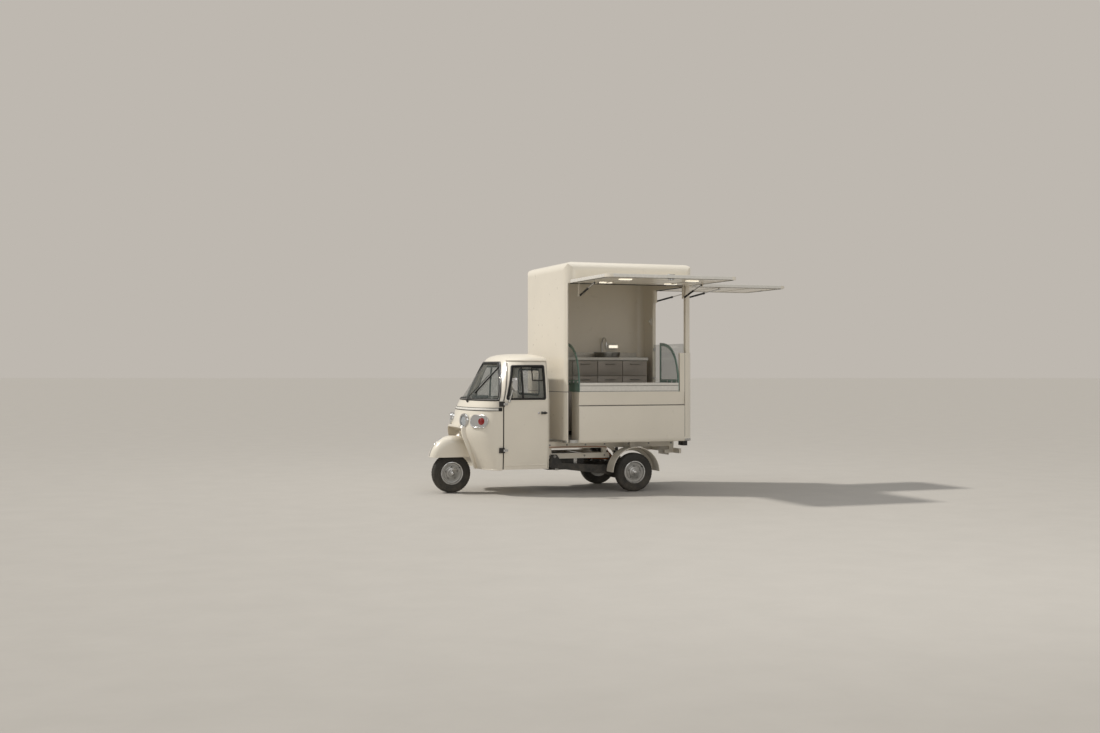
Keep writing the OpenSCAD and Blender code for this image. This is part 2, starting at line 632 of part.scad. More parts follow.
// Wheels, with the outer side towards the left
module tyre_at(x, y) {
    w = tyre_w / 2;
    r0 = rim_d / 2;
    color([0.1, 0.1, 0.1]) translate([x, y, axle_z]) rotate([90, 0, 0]) rotate_extrude($fn = 96) {
        translate([r0, -w + 10]) square([tyre_r - 30 - r0, 2 * w - 20]);
        translate([r0 + 24, -w]) square([tyre_r - 34 - r0 - 24, 2 * w]);
        translate([tyre_r - 40, -w + 34]) square([40, 2 * w - 68]);
        for (s = [-1, 1]) translate([tyre_r - 34, s * (w - 34)]) circle(34);
    }
}
module disc_at(x, y, s) {
    r = rim_d / 2;
    color(steel) translate([x, y, axle_z]) rotate([s * 90, 0, 0]) rotate_extrude($fn = 96) polygon([[stub_r, -42], [34, -42], [34, -20], [84, -20],
        [104, -48], [r, -48], [r, 48], [r - 12, 50], [r - 18, 44], [r - 22, 30], [100, 28], [94, 34], [86, 34], [80, 28], [70, 30], [64, 38], [52, 42], [44, 44],
        [38, 52], [24, 58], [stub_r, 60]]);
}

// Doors
door_zs = [305, 360, 420, 500, 600, 750, 900, 1000, 1105, 1180, 1250, 1330, 1400, 1480, 1561];
module door(s) {
    color(paint) difference() {
        side_sheet(door_zs, door_gap, door_rear - door_gap, 0, 34, 6, s);
        window_cut(s, 0);
    }
}
module window_cut(s, d) {
    translate([0, s * 700 + 350, 0]) rotate([90, 0, 0]) linear_extrude(700)
        polygon([[490 + d, 1128 + d], [948 - d, 1128 + d], [962 - d, 1142 + d], [962 - d, 1500 - d], [948 - d, 1514 - d], [592 + d * 0.6, 1514 - d]]);
}
module door_glass(s) {
    color(glass) intersection() {
        side_sheet([1126, 1180, 1250, 1330, 1400, 1480, 1520], 20, door_rear - 20, 14, 20, 6, s);
        window_cut(s, 0);
    }
}
module door_fittings(s) {
    color(dark) {
        for (z = door_pin_zs) {
            difference() {
                union() {
                    translate([door_pin_x, s * door_pin_y, z - 13]) cylinder(r = 12, h = 26);
                    slab(door_pin_x, door_pin_x + 44, s * 668 - 8, s * 668 + 8, z - 13, z + 13);
                }
                translate([door_pin_x, s * door_pin_y, z - 20]) cylinder(r = 6.05, h = 40);
                slab(400, 560, s * 640 - 20, s * 640 + 20, z - 20, z + 20);
            }
        }
    }
    color(bright) {
        slab(905, 968, s * 684 - 8, s * 684 + 8, 952, 974);
        slab(915, 930, s * 668 - 8, s * 668 + 8, 955, 971);
        slab(950, 965, s * 668 - 8, s * 668 + 8, 955, 971);
    }
    color(dark) {
        slab(500, 530, s * 670 - 10, s * 670 + 10, 1090, 1114);
        rod([515, s * 672, 1104], [540, s * 760, 1270], 7);
        translate([548, s * 770, 1300]) rotate([0, 90, 0]) linear_extrude(24, center = true) rrect(150, 110, 25);
    }
}

// Hatches, open as parked; the free edge has rounded corners
module hatch_plate(w, l) {
    difference() {
        union() {
            translate([0, 16]) square([w, l - 116]);
            translate([100, 16]) square([w - 200, l - 16]);
            for (x = [100, w - 100]) translate([x, l - 84]) circle(100);
        }
        translate([-50, l]) square([w + 100, 300]);
    }
}
module left_hatch() {
    color(paint) {
        translate([left_x1, hinge_y, hinge_z - 8]) rotate([0, 0, 180]) linear_extrude(hatch_t) hatch_plate(left_x1 - left_x0, left_len);
        for (x = left_hinge_xs) difference() {
            union() {
                translate([x, hinge_y, hinge_z]) rotate([0, 90, 0]) cylinder(r = 9, h = 80, center = true);
                slab(x - 40, x + 40, hinge_y - 20, hinge_y, hinge_z, hinge_z + 9);
            }
            translate([x, hinge_y, hinge_z]) rotate([0, 90, 0]) cylinder(r = 5.05, h = 200, center = true);
        }
        for (x = left_strut_xs) {
            slab(x + 10, x + 16, hinge_y - strut_b - 20, hinge_y - strut_b + 8, hinge_z - strut_in - 12, hinge_z - 8);
        }
    }
}
module left_hatch_lamps() {
    color([1, 0.95, 0.85]) for (x = [left_x0 + 370, left_x1 - 410], y = [hinge_y - 200, hinge_y - 780]) slab(x - 70, x + 70, y - 30, y + 30, hinge_z - 20, hinge_z - 8);
}
module rear_hatch() {
    w = back_y1 - back_y0 + 50;
    color(paint) {
        translate([hinge_x, back_y1 + 25, hinge_z - 8]) rotate([0, 0, -90]) linear_extrude(hatch_t) hatch_plate(w, rear_len);
        for (y = rear_hinge_ys) difference() {
            union() {
                translate([hinge_x, y, hinge_z]) rotate([90, 0, 0]) cylinder(r = 9, h = 80, center = true);
                slab(hinge_x, hinge_x + 20, y - 40, y + 40, hinge_z, hinge_z + 9);
            }
            translate([hinge_x, y, hinge_z]) rotate([90, 0, 0]) cylinder(r = 5.05, h = 200, center = true);
        }
        for (y = rear_strut_ys) slab(hinge_x + strut_b - 8, hinge_x + strut_b + 20, y + 10, y + 16, hinge_z - strut_in - 12, hinge_z - 8);
    }
}
// Strut along its local Z from the lower eye; open length from the eye points
strut_dz = strut_a - strut_in;
strut_l = sqrt(pow(strut_b + strut_in, 2) + strut_dz * strut_dz);
strut_tilt = atan2(strut_b + strut_in, strut_dz);
module strut_tube() {
    difference() {
        union() {
            translate([0, 0, 14]) cylinder(r = tube_r, h = 242);
            rotate([0, 90, 0]) cylinder(r = 12, h = 12, center = true);
            translate([-6, -8, 0]) cube([12, 16, 20]);
        }
        translate([0, 0, 24]) cylinder(r = rod_r + 0.05, h = 300);
        rotate([0, 90, 0]) cylinder(r = 6, h = 40, center = true);
    }
}
module strut_rod() {
    translate([0, 0, strut_l - 242]) cylinder(r = rod_r, h = 234);
    translate([0, 0, strut_l]) rotate([0, 90, 0]) cylinder(r = 10, h = 9, center = true);
}
module left_strut_at(x) { translate([x, hinge_y + strut_in, hinge_z - strut_a]) rotate([strut_tilt, 0, 0]) children(); }
module rear_strut_at(y) { translate([hinge_x - strut_in, y, hinge_z - strut_a]) rotate([0, 0, 90]) rotate([strut_tilt, 0, 0]) children(); }
module left_strut_tubes() { color(dark) for (x = left_strut_xs) left_strut_at(x) strut_tube(); }
module left_strut_rods() { color(bright) for (x = left_strut_xs) left_strut_at(x) strut_rod(); }
module rear_strut_tubes() { color(dark) for (y = rear_strut_ys) rear_strut_at(y) strut_tube(); }
module rear_strut_rods() { color(bright) for (y = rear_strut_ys) rear_strut_at(y) strut_rod(); }

chassis_frame();
battery_block();
drive_unit();
trailing_arms();
rear_mudguards();
rear_bumper();
tail_lamps();
cab_nose();
cab_floor();
cab_pillars();
cab_roof();
cab_rear_wall();
cab_rear_window();
windscreen();
windscreen_seal();
dashboard();
seat_frame();
seat_cushion();
seat_backrest();
lamp_housings();
headlamp_lenses();
indicator_lenses();
box_floor();
box_front_lower();
box_front_wall();
box_right_wall();
box_rear_wall();
box_roof();
hatch_post();
side_panel();
counter();
back_cabinet();
guard_frames();
guard_glass();
rear_glass();
hinge_fittings();
strut_brackets();
steering_fork();
front_mudguard();
handlebar();
tyre_at(0, 0);  // front_tyre
disc_at(0, 0, 1);  // front_disc
tyre_at(wheelbase, -rear_track / 2);  // rear_left_tyre
disc_at(wheelbase, -rear_track / 2, 1);  // rear_left_disc
tyre_at(wheelbase, rear_track / 2);  // rear_right_tyre
disc_at(wheelbase, rear_track / 2, -1);  // rear_right_disc
door(-1);  // left_door
door_glass(-1);  // left_door_glass
door_fittings(-1);  // left_door_fittings
door(1);  // right_door
door_glass(1);  // right_door_glass
door_fittings(1);  // right_door_fittings
left_hatch();
left_hatch_lamps();
rear_hatch();
left_strut_tubes();
left_strut_rods();
rear_strut_tubes();
rear_strut_rods();
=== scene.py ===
"""Looks of the electric cargo tricycle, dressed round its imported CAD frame.

X runs rearward, Y to the vehicle's right, Z up.
Lengths in this script are millimetres unless a name ends in _m.
"""

import json
from math import acos, atan2, copysign, cos, exp, hypot, pi, radians, sin, sqrt, tan

import bmesh
import bpy
from mathutils import Matrix, Vector

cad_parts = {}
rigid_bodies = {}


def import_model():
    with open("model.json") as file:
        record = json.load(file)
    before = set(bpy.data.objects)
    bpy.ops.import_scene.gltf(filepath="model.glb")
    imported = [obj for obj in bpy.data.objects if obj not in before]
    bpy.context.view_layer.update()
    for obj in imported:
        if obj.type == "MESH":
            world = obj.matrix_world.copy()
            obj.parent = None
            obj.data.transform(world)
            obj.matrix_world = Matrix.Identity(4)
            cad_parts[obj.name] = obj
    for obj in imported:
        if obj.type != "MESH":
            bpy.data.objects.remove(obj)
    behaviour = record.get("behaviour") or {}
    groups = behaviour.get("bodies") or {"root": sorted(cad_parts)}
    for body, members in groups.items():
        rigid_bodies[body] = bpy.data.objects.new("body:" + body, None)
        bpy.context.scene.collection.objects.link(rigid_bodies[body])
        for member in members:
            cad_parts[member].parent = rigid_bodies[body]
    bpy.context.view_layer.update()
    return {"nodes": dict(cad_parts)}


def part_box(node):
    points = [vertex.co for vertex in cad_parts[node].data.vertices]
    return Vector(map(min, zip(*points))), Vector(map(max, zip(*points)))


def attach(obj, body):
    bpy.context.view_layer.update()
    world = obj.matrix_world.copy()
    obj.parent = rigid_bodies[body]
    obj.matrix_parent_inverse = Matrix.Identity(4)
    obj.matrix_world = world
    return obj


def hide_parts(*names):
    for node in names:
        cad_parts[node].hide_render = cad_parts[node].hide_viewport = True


for old in list(bpy.data.objects):
    bpy.data.objects.remove(old)
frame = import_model()
nodes = frame["nodes"]
scene = bpy.context.scene
LEFT, RIGHT = -1, 1
SIDES = (LEFT, RIGHT)
TAGGED = ((LEFT, "left"), (RIGHT, "right"))


def span(node):
    """Lowest and highest corner of a CAD node in millimetres."""
    lo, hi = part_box(node)
    return Vector(lo) * 1000, Vector(hi) * 1000


# ---------------------------------------------------------------- sizes read from the frame
tyre_lo, tyre_hi = span("front_tyre")
TYRE_R = (tyre_hi.z - tyre_lo.z) / 2
TYRE_W = tyre_hi.y - tyre_lo.y
RIM_R = (span("front_disc")[1].x - span("front_disc")[0].x) / 2
WHEELS = {b: sum(span(b.replace("_wheel", "_tyre")), Vector()) / 2
          for b in ("front_wheel", "rear_left_wheel", "rear_right_wheel")}
ROOF_Z = span("box_roof")[0].z
BOX_FRONT, BOX_REAR = span("box_front_wall")[0].x, span("box_rear_wall")[1].x
BOX_HALF = span("box_front_wall")[1].y
BOX_BOTTOM = span("box_floor")[0].z
CORNER_R = 120.0
WALL = 40.0
INNER_Y = BOX_HALF - WALL
SILL_Z = span("rear_glass")[0].z
counter_lo, counter_hi = span("counter")
cabinet_lo, cabinet_hi = span("back_cabinet")
left_lo, left_hi = span("left_hatch")
rear_lo, rear_hi = span("rear_hatch")
HATCH_Z = span("left_hatch_lamps")[1].z
HATCH_T = rear_hi.z - HATCH_Z
RAKE = radians(18)
TRAIL = 75.0
NOSE_N = 2.15
LAMP_Z = 868.0
HANDLE_Z = 963.0
POST_Z = 1668.0
GUTTER_Z = 1572.0
REAR_WINDOW_Z = 1320.0
SOCKET_Z = 1770.0
BAR_UP = 1208.0

# Cab surface by height: front on the centre line, half width, start of the front curve, front edge of doors
FRONT_X = ((300, 230), (400, 178), (500, 128), (600, 82), (690, 48), (760, 40), (820, 50), (870, 68),
           (930, 92), (980, 112),
           (1040, 140), (1105, 182), (1250, 271), (1400, 363), (1566, 465), (1600, 494), (1630, 540),
           (1648, 610), (1658, 700))
HALF_W = ((300, 636), (420, 650), (600, 658), (900, 660), (1105, 660), (1250, 642), (1400, 614), (1566, 572),
    (1600, 552),
          (1630, 500), (1648, 410), (1658, 290))
CURVE_X = ((300, 440), (1105, 440), (1566, 800), (1658, 860))
DOOR_X = ((300, 440), (1105, 440), (1566, 556))


def look(table, z):
    if z <= table[0][0]:
        return table[0][1]
    for (za, a), (zb, b) in zip(table, table[1:]):
        if z <= zb:
            return a + (b - a) * (z - za) / (zb - za)
    return table[-1][1]


def nose_p(z, a, d=0.0):
    """Point of the cab's front at height z and angle a round it, d below the surface."""
    c = look(CURVE_X, z)
    return Vector((c - (c - look(FRONT_X, z) - d) * abs(cos(a)) ** (2 / NOSE_N),
                   copysign((look(HALF_W, z) - d) * abs(sin(a)) ** (2 / NOSE_N), a), z))


def nose_end(z, back=0.0):
    """Angle at which the cab's front reaches the door edge less back."""
    c, x = look(CURVE_X, z), look(DOOR_X, z) - back
    return pi / 2 if x >= c else acos(((c - x) / (c - look(FRONT_X, z))) ** (NOSE_N / 2))


def side_p(x, z, s, d=0.0):
    """Point of the cab's side skin."""
    c, h = look(CURVE_X, z), look(HALF_W, z) - d
    if x < c:
        h *= (1 - min(1, (c - x) / (c - look(FRONT_X, z) - d)) ** NOSE_N) ** (1 / NOSE_N)
    return Vector((x, s * h, z))


def side_n(x, z, s):
    u = side_p(x + 4, z, s) - side_p(x - 4, z, s)
    v = side_p(x, z + 4, s) - side_p(x, z - 4, s)
    n = u.cross(v).normalized()
    return n if n.y * s > 0 else -n


def steer_m():
    """Places local Z on the steering axis, from its foot on the floor."""
    return Matrix.Translation((-TRAIL, 0, 0)) @ Matrix.Rotation(RAKE, 4, "Y")


def aim(p, z, x=(1, 0, 0)):
    """Matrix with local Z along z at p."""
    z = Vector(z).normalized()
    x = Vector(x)
    if abs(x.normalized().dot(z)) > 0.95:
        x = Vector((0, 1, 0)) if abs(z.y) < 0.9 else Vector((0, 0, 1))
    y = z.cross(x).normalized()
    return Matrix.Translation(p) @ Matrix((y.cross(z), y, z)).transposed().to_4x4()


# ---------------------------------------------------------------- materials
def lin(r, g, b):
    """Linear colour from 0-255 sRGB."""
    return tuple(c / 255 / 12.92 if c / 255 <= 0.04045 else ((c / 255 + 0.055) / 1.055) ** 2.4
                 for c in (r, g, b))


MATS = {}
DUST_RGB = (128, 118, 102)


def finish(name, rgb, rough, metal=0.0, spread=0.05, cloud=2.4, grain=300.0, bump=0.05, rough_spread=0.08,
           coat=0.0, dust=0.0,
           dust_z=(120.0, 900.0), glow=0.0, alpha=1.0, stretch=(1, 1, 1), pores=0.0, weave=0.0, specular=0.5,
           scratch=0.0):
    """Procedural surface: clouded colour, uneven roughness, fine grain, dust towards the floor, scratches."""
    mat = bpy.data.materials.new(name)
    mat.use_nodes = True
    tree = mat.node_tree
    new, link = tree.nodes.new, tree.links.new
    bsdf = tree.nodes["Principled BSDF"]
    bsdf.inputs["Metallic"].default_value = metal
    bsdf.inputs["Coat Weight"].default_value = coat
    bsdf.inputs["Coat Roughness"].default_value = 0.08
    bsdf.inputs["Specular IOR Level"].default_value = specular
    bsdf.inputs["Alpha"].default_value = alpha
    where = new("ShaderNodeTexCoord").outputs["Object"]

    def node(kind, source, out, entry="Vector", **values):
        """Adds a node fed by source and returns one of its outputs."""
        made = new("ShaderNode" + kind)
        for key, value in values.items():
            made.inputs[key.replace("_", " ")].default_value = value
        link(source, made.inputs[entry])
        return made.outputs[out]

    def maths(operation, a, b, c=None):
        made = new("ShaderNodeMath")
        made.operation = operation
        for k, item in enumerate((a, b, c)):
            if isinstance(item, float):
                made.inputs[k].default_value = item
            elif item:
                link(item, made.inputs[k])
        return made.outputs["Value"]

    place = node("Mapping", where, "Vector", Scale=stretch)

    def noisy(scale, detail=3.0, rough_in=0.55):
        return node("TexNoise", place, "Fac", Scale=scale, Detail=detail, Roughness=rough_in)

    def ramp(source, a, b, c, d):
        return node("MapRange", source, "Result", "Value", From_Min=a, From_Max=b, To_Min=c, To_Max=d)

    tone = new("ShaderNodeVectorMath")
    tone.operation = "SCALE"
    tone.inputs[0].default_value = lin(*rgb)
    link(ramp(noisy(cloud), 0.3, 0.7, 1 - spread, 1 + spread), tone.inputs["Scale"])
    colour = tone.outputs["Vector"]
    if dust:
        low = ramp(node("SeparateXYZ", where, "Z"), dust_z[0] / 1000, dust_z[1] / 1000, 1.0, 0.0)
        mix = new("ShaderNodeMix")
        mix.data_type = "RGBA"
        link(maths("MULTIPLY", low, ramp(noisy(9.0, 6.0, 0.7), 0.35, 0.75, 0.0, dust)), mix.inputs["Factor"])
        link(colour, mix.inputs["A"])
        mix.inputs["B"].default_value = (*lin(*DUST_RGB), 1)
        colour = mix.outputs["Result"]
    link(colour, bsdf.inputs["Base Color"])
    rough_lo, rough_hi = max(0.02, rough - rough_spread), min(1.0, rough + rough_spread)
    link(ramp(noisy(cloud * 5 + 3, 5.0), 0.3, 0.7, rough_lo, rough_hi), bsdf.inputs["Roughness"])
    height = noisy(grain, 2.0)
    if pores:
        height = node("TexVoronoi", place, "Distance", Scale=pores)
    if weave:
        height = node("TexWave", place, "Fac", Scale=weave, Distortion=0.4)
    if scratch:
        drawn = node("Mapping", where, "Vector", Scale=(0.4, 0.4, 14.0))
        height = maths("MULTIPLY_ADD", node("TexNoise", drawn, "Fac", Scale=40.0, Detail=6.0),
                       float(scratch), height)
    link(node("Bump", height, "Normal", "Height", Strength=bump, Distance=0.002), bsdf.inputs["Normal"])
    if glow:
        bsdf.inputs["Emission Color"].default_value = (*lin(*rgb), 1)
        bsdf.inputs["Emission Strength"].default_value = glow
    MATS[name] = mat
    return mat


finish("paint", (229, 221, 205), 0.30, coat=0.35, spread=0.02, bump=0.006, grain=420, rough_spread=0.03,
       dust=0.12, dust_z=(180, 620))
finish("inner_paint", (214, 209, 198), 0.42, spread=0.025, bump=0.01)
finish("white_top", (222, 218, 209), 0.26, spread=0.03, bump=0.008, cloud=5, scratch=0.15)
finish("cabinet", (164, 156, 146), 0.42, metal=0.1, spread=0.05, bump=0.05, stretch=(1, 1, 8), scratch=0.5)
finish("black", (30, 29, 28), 0.42, spread=0.18, bump=0.10, grain=500, dust=0.35, dust_z=(150, 620))
finish("chassis_black", (44, 43, 42), 0.55, spread=0.2, bump=0.12, grain=180, dust=0.6, dust_z=(100, 700))
finish("rubber", (24, 24, 23), 0.68, spread=0.15, bump=0.16, grain=650)
finish("seat", (38, 35, 34), 0.48, spread=0.12, pores=420, bump=0.25)
finish("chrome", (205, 206, 207), 0.12, metal=1.0, spread=0.03, bump=0.02, rough_spread=0.05)
finish("lens", (226, 230, 232), 0.10, spread=0.03, bump=0.03, alpha=0.45, coat=0.5)
finish("red_lens", (150, 22, 18), 0.16, spread=0.08, bump=0.05, coat=0.6)
finish("amber_lens", (206, 104, 22), 0.16, spread=0.08, bump=0.05, coat=0.6)
finish("lamp", (255, 246, 226), 0.35, spread=0.03, bump=0.04, glow=0.9)
finish("glass", (126, 142, 136), 0.05, spread=0.05, bump=0.01, rough_spread=0.03, alpha=0.22, coat=0.3)
finish("cab_glass", (104, 112, 108), 0.05, spread=0.08, bump=0.01, rough_spread=0.03, alpha=0.22, coat=0.3)
finish("tint", (122, 154, 142), 0.12, spread=0.08, bump=0.02, alpha=0.7)
finish("silver", (176, 176, 174), 0.34, metal=0.75, spread=0.06, bump=0.05, dust=0.45, dust_z=(60, 460))
finish("alloy", (186, 186, 184), 0.30, metal=0.9, spread=0.05, bump=0.05, stretch=(1, 6, 6), scratch=0.4)
finish("tyre", (52, 50, 46), 0.80, spread=0.14, bump=0.22, grain=420, dust=0.5, dust_z=(0, 330))
finish("steel", (150, 149, 146), 0.36, metal=0.95, spread=0.08, bump=0.06)
finish("mirror", (196, 202, 206), 0.04, metal=1.0, spread=0.02, bump=0.005, rough_spread=0.02)
finish("mat", (50, 49, 48), 0.80, spread=0.12, weave=60, bump=0.5, dust=0.3, dust_z=(300, 420))
finish("seam", (58, 55, 50), 0.75, spread=0.10, bump=0.08)
finish("plate", (226, 226, 220), 0.35, spread=0.03, bump=0.04, dust=0.3, dust_z=(380, 560))
finish("copper", (168, 92, 36), 0.40, spread=0.12, bump=0.10)
finish("felt", (92, 90, 88), 0.92, spread=0.10, bump=0.3, grain=900)
finish("dial", (20, 22, 24), 0.25, spread=0.10, bump=0.03)

# Record slot of a material that isn't called after one
OVERRIDE = {"chassis_frame": "paint", "trailing_arms": "chassis_black", "drive_unit": "chassis_black",
    "battery_block": "black",
            "windscreen": "cab_glass", "left_door_glass": "cab_glass", "right_door_glass": "cab_glass",
            "cab_rear_window": "cab_glass",
            "rear_bumper": "paint", "tail_lamps": "black", "box_floor": "alloy", "hinge_fittings": "black"}
SMOOTHED = ("cab_nose", "cab_pillars", "cab_roof", "windscreen", "windscreen_seal", "left_door",
            "right_door", "left_door_glass",
            "right_door_glass", "lamp_housings", "indicator_lenses", "dashboard", "cab_floor",
            "guard_frames", "guard_glass", "side_panel")
for key, obj in nodes.items():
    for item in obj.material_slots:
        item.material = MATS[OVERRIDE.get(key) or item.material.name.split(".")[0]]
    if key in SMOOTHED:
        mesh = obj.data
        for layer in ("custom_normal", "sharp_edge", "sharp_face"):
            if layer in mesh.attributes:
                mesh.attributes.remove(mesh.attributes[layer])
        mesh.shade_smooth()
        weld = obj.modifiers.new("weld", "WELD")
        weld.merge_threshold = 0.00003
        split = obj.modifiers.new("edges", "EDGE_SPLIT")
        split.split_angle = radians(33)


# ---------------------------------------------------------------- mesh tools
def quads(k, n, closed=False):
    """Faces of a skin over k rings of n points each; an open one isn't capped."""
    return [[i * n + j, i * n + (j + 1) % n, (i + 1) % k * n + (j + 1) % n, (i + 1) % k * n + j]
            for i in range(k if closed else k - 1) for j in range(n)]


def capped(k, n, closed):
    """Faces of a skin over k rings, with end caps unless it is a loop."""
    return quads(k, n, closed) + ([] if closed else [list(range(n))[::-1], list(range((k - 1) * n, k * n))])


class Batch:
    """Gathers the forms of one piece."""

    def __init__(self):
        self.v, self.f = [], []

    def add(self, verts, faces, m=None):
        k = len(self.v)
        self.v += [m @ Vector(p) if m else Vector(p) for p in verts]
        self.f += [[i + k for i in face] for face in faces]
        return self

    def block(self, lo, hi, r=2.0, m=None, seg=2):
        """Box with rounded edges."""
        bm = bmesh.new()
        lo, hi = Vector(lo), Vector(hi)
        size = hi - lo
        bmesh.ops.create_cube(bm, size=1,
                              matrix=Matrix.Translation((lo + hi) / 2) @ Matrix.Diagonal((*size, 1)))
        r = min(r, 0.48 * min(size))
        bmesh.ops.bevel(bm, geom=bm.edges[:], offset=r, segments=seg, profile=0.5, affect="EDGES")
        bm.verts.index_update()
        self.add([v.co.copy() for v in bm.verts], [[v.index for v in f.verts] for f in bm.faces], m)
        bm.free()
        return self

    def lathe(self, prof, m, n=48):
        """Turned form from (radius, height) points; ends at radius 0 close."""
        verts = [(r * cos(2 * pi * j / n), r * sin(2 * pi * j / n), h) for r, h in prof for j in range(n)]
        return self.add(verts, quads(len(prof), n), m)

    def tube(self, pts, r, n=12, closed=False):
        """Round bar along points; r may be a list."""
        pts = [Vector(p) for p in pts]
        k = len(pts)
        rs = r if isinstance(r, (list, tuple)) else [r] * k
        verts, up = [], None
        for i, p in enumerate(pts):
            a = pts[i - 1] if i or closed else p
            b = pts[(i + 1) % k] if i < k - 1 or closed else p
            t = (b - a).normalized()
            if up is None:
                up = t.orthogonal().normalized()
            up = (up - t * up.dot(t)).normalized()
            w = t.cross(up)
            verts += [p + (up * cos(q) + w * sin(q)) * rs[i] for q in (2 * pi * j / n for j in range(n))]
        return self.add(verts, capped(k, n, closed))

    def sweep(self, path, section, closed=False):
        """Section of (across, out) points carried along path, a list of (point, outward normal)."""
        k, n, verts = len(path), len(section), []
        for i, (p, out) in enumerate(path):
            a = path[i - 1][0] if i or closed else p
            b = path[(i + 1) % k][0] if i < k - 1 or closed else p
            t = (b - a).normalized()
            out = (out - t * out.dot(t)).normalized()
            across = t.cross(out)
            verts += [p + across * u + out * v for u, v in section]
        return self.add(verts, capped(k, n, closed))

    def sheet(self, grid, thick, inward):
        """Thick skin from rows of points; inward(p) gives the direction of its back."""
        nr, nc = len(grid), len(grid[0])
        front = [p for row in grid for p in row]
        back = [p + inward(p) * thick for p in front]
        k = nr * nc
        faces = []
        for i in range(nr - 1):
            for j in range(nc - 1):
                a, b, c, d = i * nc + j, i * nc + j + 1, (i + 1) * nc + j + 1, (i + 1) * nc + j
                faces += [[a, b, c, d], [k + d, k + c, k + b, k + a]]
        rim = ([j for j in range(nc)] + [i * nc + nc - 1 for i in range(1,
            nr)] + [(nr - 1) * nc + j for j in range(nc - 2, -1, -1)]
               + [i * nc for i in range(nr - 2, 0, -1)])
        faces += [[rim[i], k + rim[i], k + rim[(i + 1) % len(rim)], rim[(i + 1) % len(rim)]]
                  for i in range(len(rim))]
        return self.add(front + back, faces)

    def nut(self, m, flats=17.0, h=10.0, washer=1.5):
        """Hexagon head on a washer, standing on local Z."""
        r = flats / sqrt(3)
        self.lathe([(r * 1.25, 0), (r * 1.25, washer), (0.01, washer)], m, 20)
        return self.lathe([(r, washer), (r, washer + h * 0.75), (r * 0.82, washer + h), (0.01, washer + h)],
                          m, 6)

    def rivet(self, m, r=5.0, h=2.0):
        return self.lathe([(r, 0), (r * 0.92, h * 0.5), (r * 0.6, h * 0.9), (0.01, h)], m, 12)

    def done(self, name, mat, body="chassis", slot=None, angle=38.0, stands_for=()):
        """Makes the piece, in metres, riding on its body; the slot argument is not used."""
        bm = bmesh.new()
        at = [bm.verts.new(p * 0.001) for p in self.v]
        for face in self.f:
            ring = []
            for i in face:
                if at[i] not in ring:
                    ring.append(at[i])
            if len(ring) > 2:
                try:
                    bm.faces.new(ring)
                except ValueError:
                    pass
        bmesh.ops.remove_doubles(bm, verts=bm.verts[:], dist=0.00001)
        bmesh.ops.recalc_face_normals(bm, faces=bm.faces[:])
        mesh = bpy.data.meshes.new(name)
        bm.to_mesh(mesh)
        bm.free()
        mesh.shade_smooth()
        mesh.set_sharp_from_angle(angle=radians(angle))
        mesh.materials.append(MATS[mat])
        obj = bpy.data.objects.new(name, mesh)
        scene.collection.objects.link(obj)
        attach(obj, body)
        if stands_for:
            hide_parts(*stands_for)
        return obj


def round_outline(points, r, n=5):
    """Polygon with rounded corners."""
    out = []
    k = len(points)
    for i in range(k):
        p, a, b = (Vector(points[j % k]) for j in (i, i - 1, i + 1))
        u, v = (a - p).normalized(), (b - p).normalized()
        reach = min(r / max(0.05, tan(u.angle(v) / 2)), 0.45 * (a - p).length, 0.45 * (b - p).length)
        q0, q1 = p + u * reach, p + v * reach
        for t in (step / n for step in range(n + 1)):
            out.append(tuple((q0 * (1 - t) + p * t) * (1 - t) + (p * (1 - t) + q1 * t) * t))
    return out


def dense(flat, step, closed=True):
    """Points along an outline, about step apart."""
    out = []
    for (u0, v0), (u1, v1) in zip(flat, flat[1:] + flat[:1] if closed else flat[1:]):
        k = max(1, int(hypot(u1 - u0, v1 - v0) / step))
        out += [(u0 + (u1 - u0) * i / k, v0 + (v1 - v0) * i / k) for i in range(k)]
    return out if closed else out + [flat[-1]]


def oval(w, h, n=16):
    """Flat-backed rounded section, w across and h out."""
    return [(-w / 2, 0)] + [(-w / 2 * cos(pi * i / n), h * sin(pi * i / n) ** 0.7)
                            for i in range(1, n)] + [(w / 2, 0)]


# ---------------------------------------------------------------- wheels
def tread_depth(turn, y):
    """Depth of the tread pattern at a share of a turn and a distance across the tyre."""
    pitch = (turn * 44) % 1.0
    swing = 4.0 * (abs(pitch - 0.5) * 4 - 1)
    for c in (-17, 17):
        if abs(y - c - swing) < 3.4:
            return 6.0
    if abs(y - swing * 0.6) < 1.6:
        return 3.5
    if abs(y) > 27 and 0.36 < (pitch + (0.5 if y > 0 else 0)) % 1.0 < 0.64:
        return 5.5
    return 0.0


def tyre_profile():
    """(radius, across, tread share) points from one bead over the crown to the other."""
    w, r = TYRE_W / 2, TYRE_R
    half = [(RIM_R - 1, w - 12, 0), (RIM_R + 6, w - 7.5, 0), (RIM_R + 9, w - 4.5, 0),
            (RIM_R + 12, w - 4.5, 0), (RIM_R + 14, w - 2.6, 0),
            (RIM_R + 24, w - 1.6, 0), (RIM_R + 26, w - 0.2, 0), (RIM_R + 30, w - 0.2, 0),
            (RIM_R + 32, w - 1.4, 0), (RIM_R + 46, w - 1.0, 0),
            (RIM_R + 48, w, 0), (RIM_R + 52, w - 0.1, 0), (RIM_R + 54, w - 1.6, 0)]
    half += [(r - 34 + 33.6 * sin(q), w - 34 + 33.6 * cos(q), max(0, sin(q) - 0.35) / 0.65)
             for q in (radians(18 + 72 * i / 8) for i in range(9))]
    steps = int((w - 34) / 1.6)
    half += [(r - 0.4 + 0.4 * i / steps, (w - 34) * (1 - i / steps), 1.0) for i in range(1, steps + 1)]
    return [(a, b, c) for a, b, c in half] + [(a, -b, c) for a, b, c in half[-2::-1]]


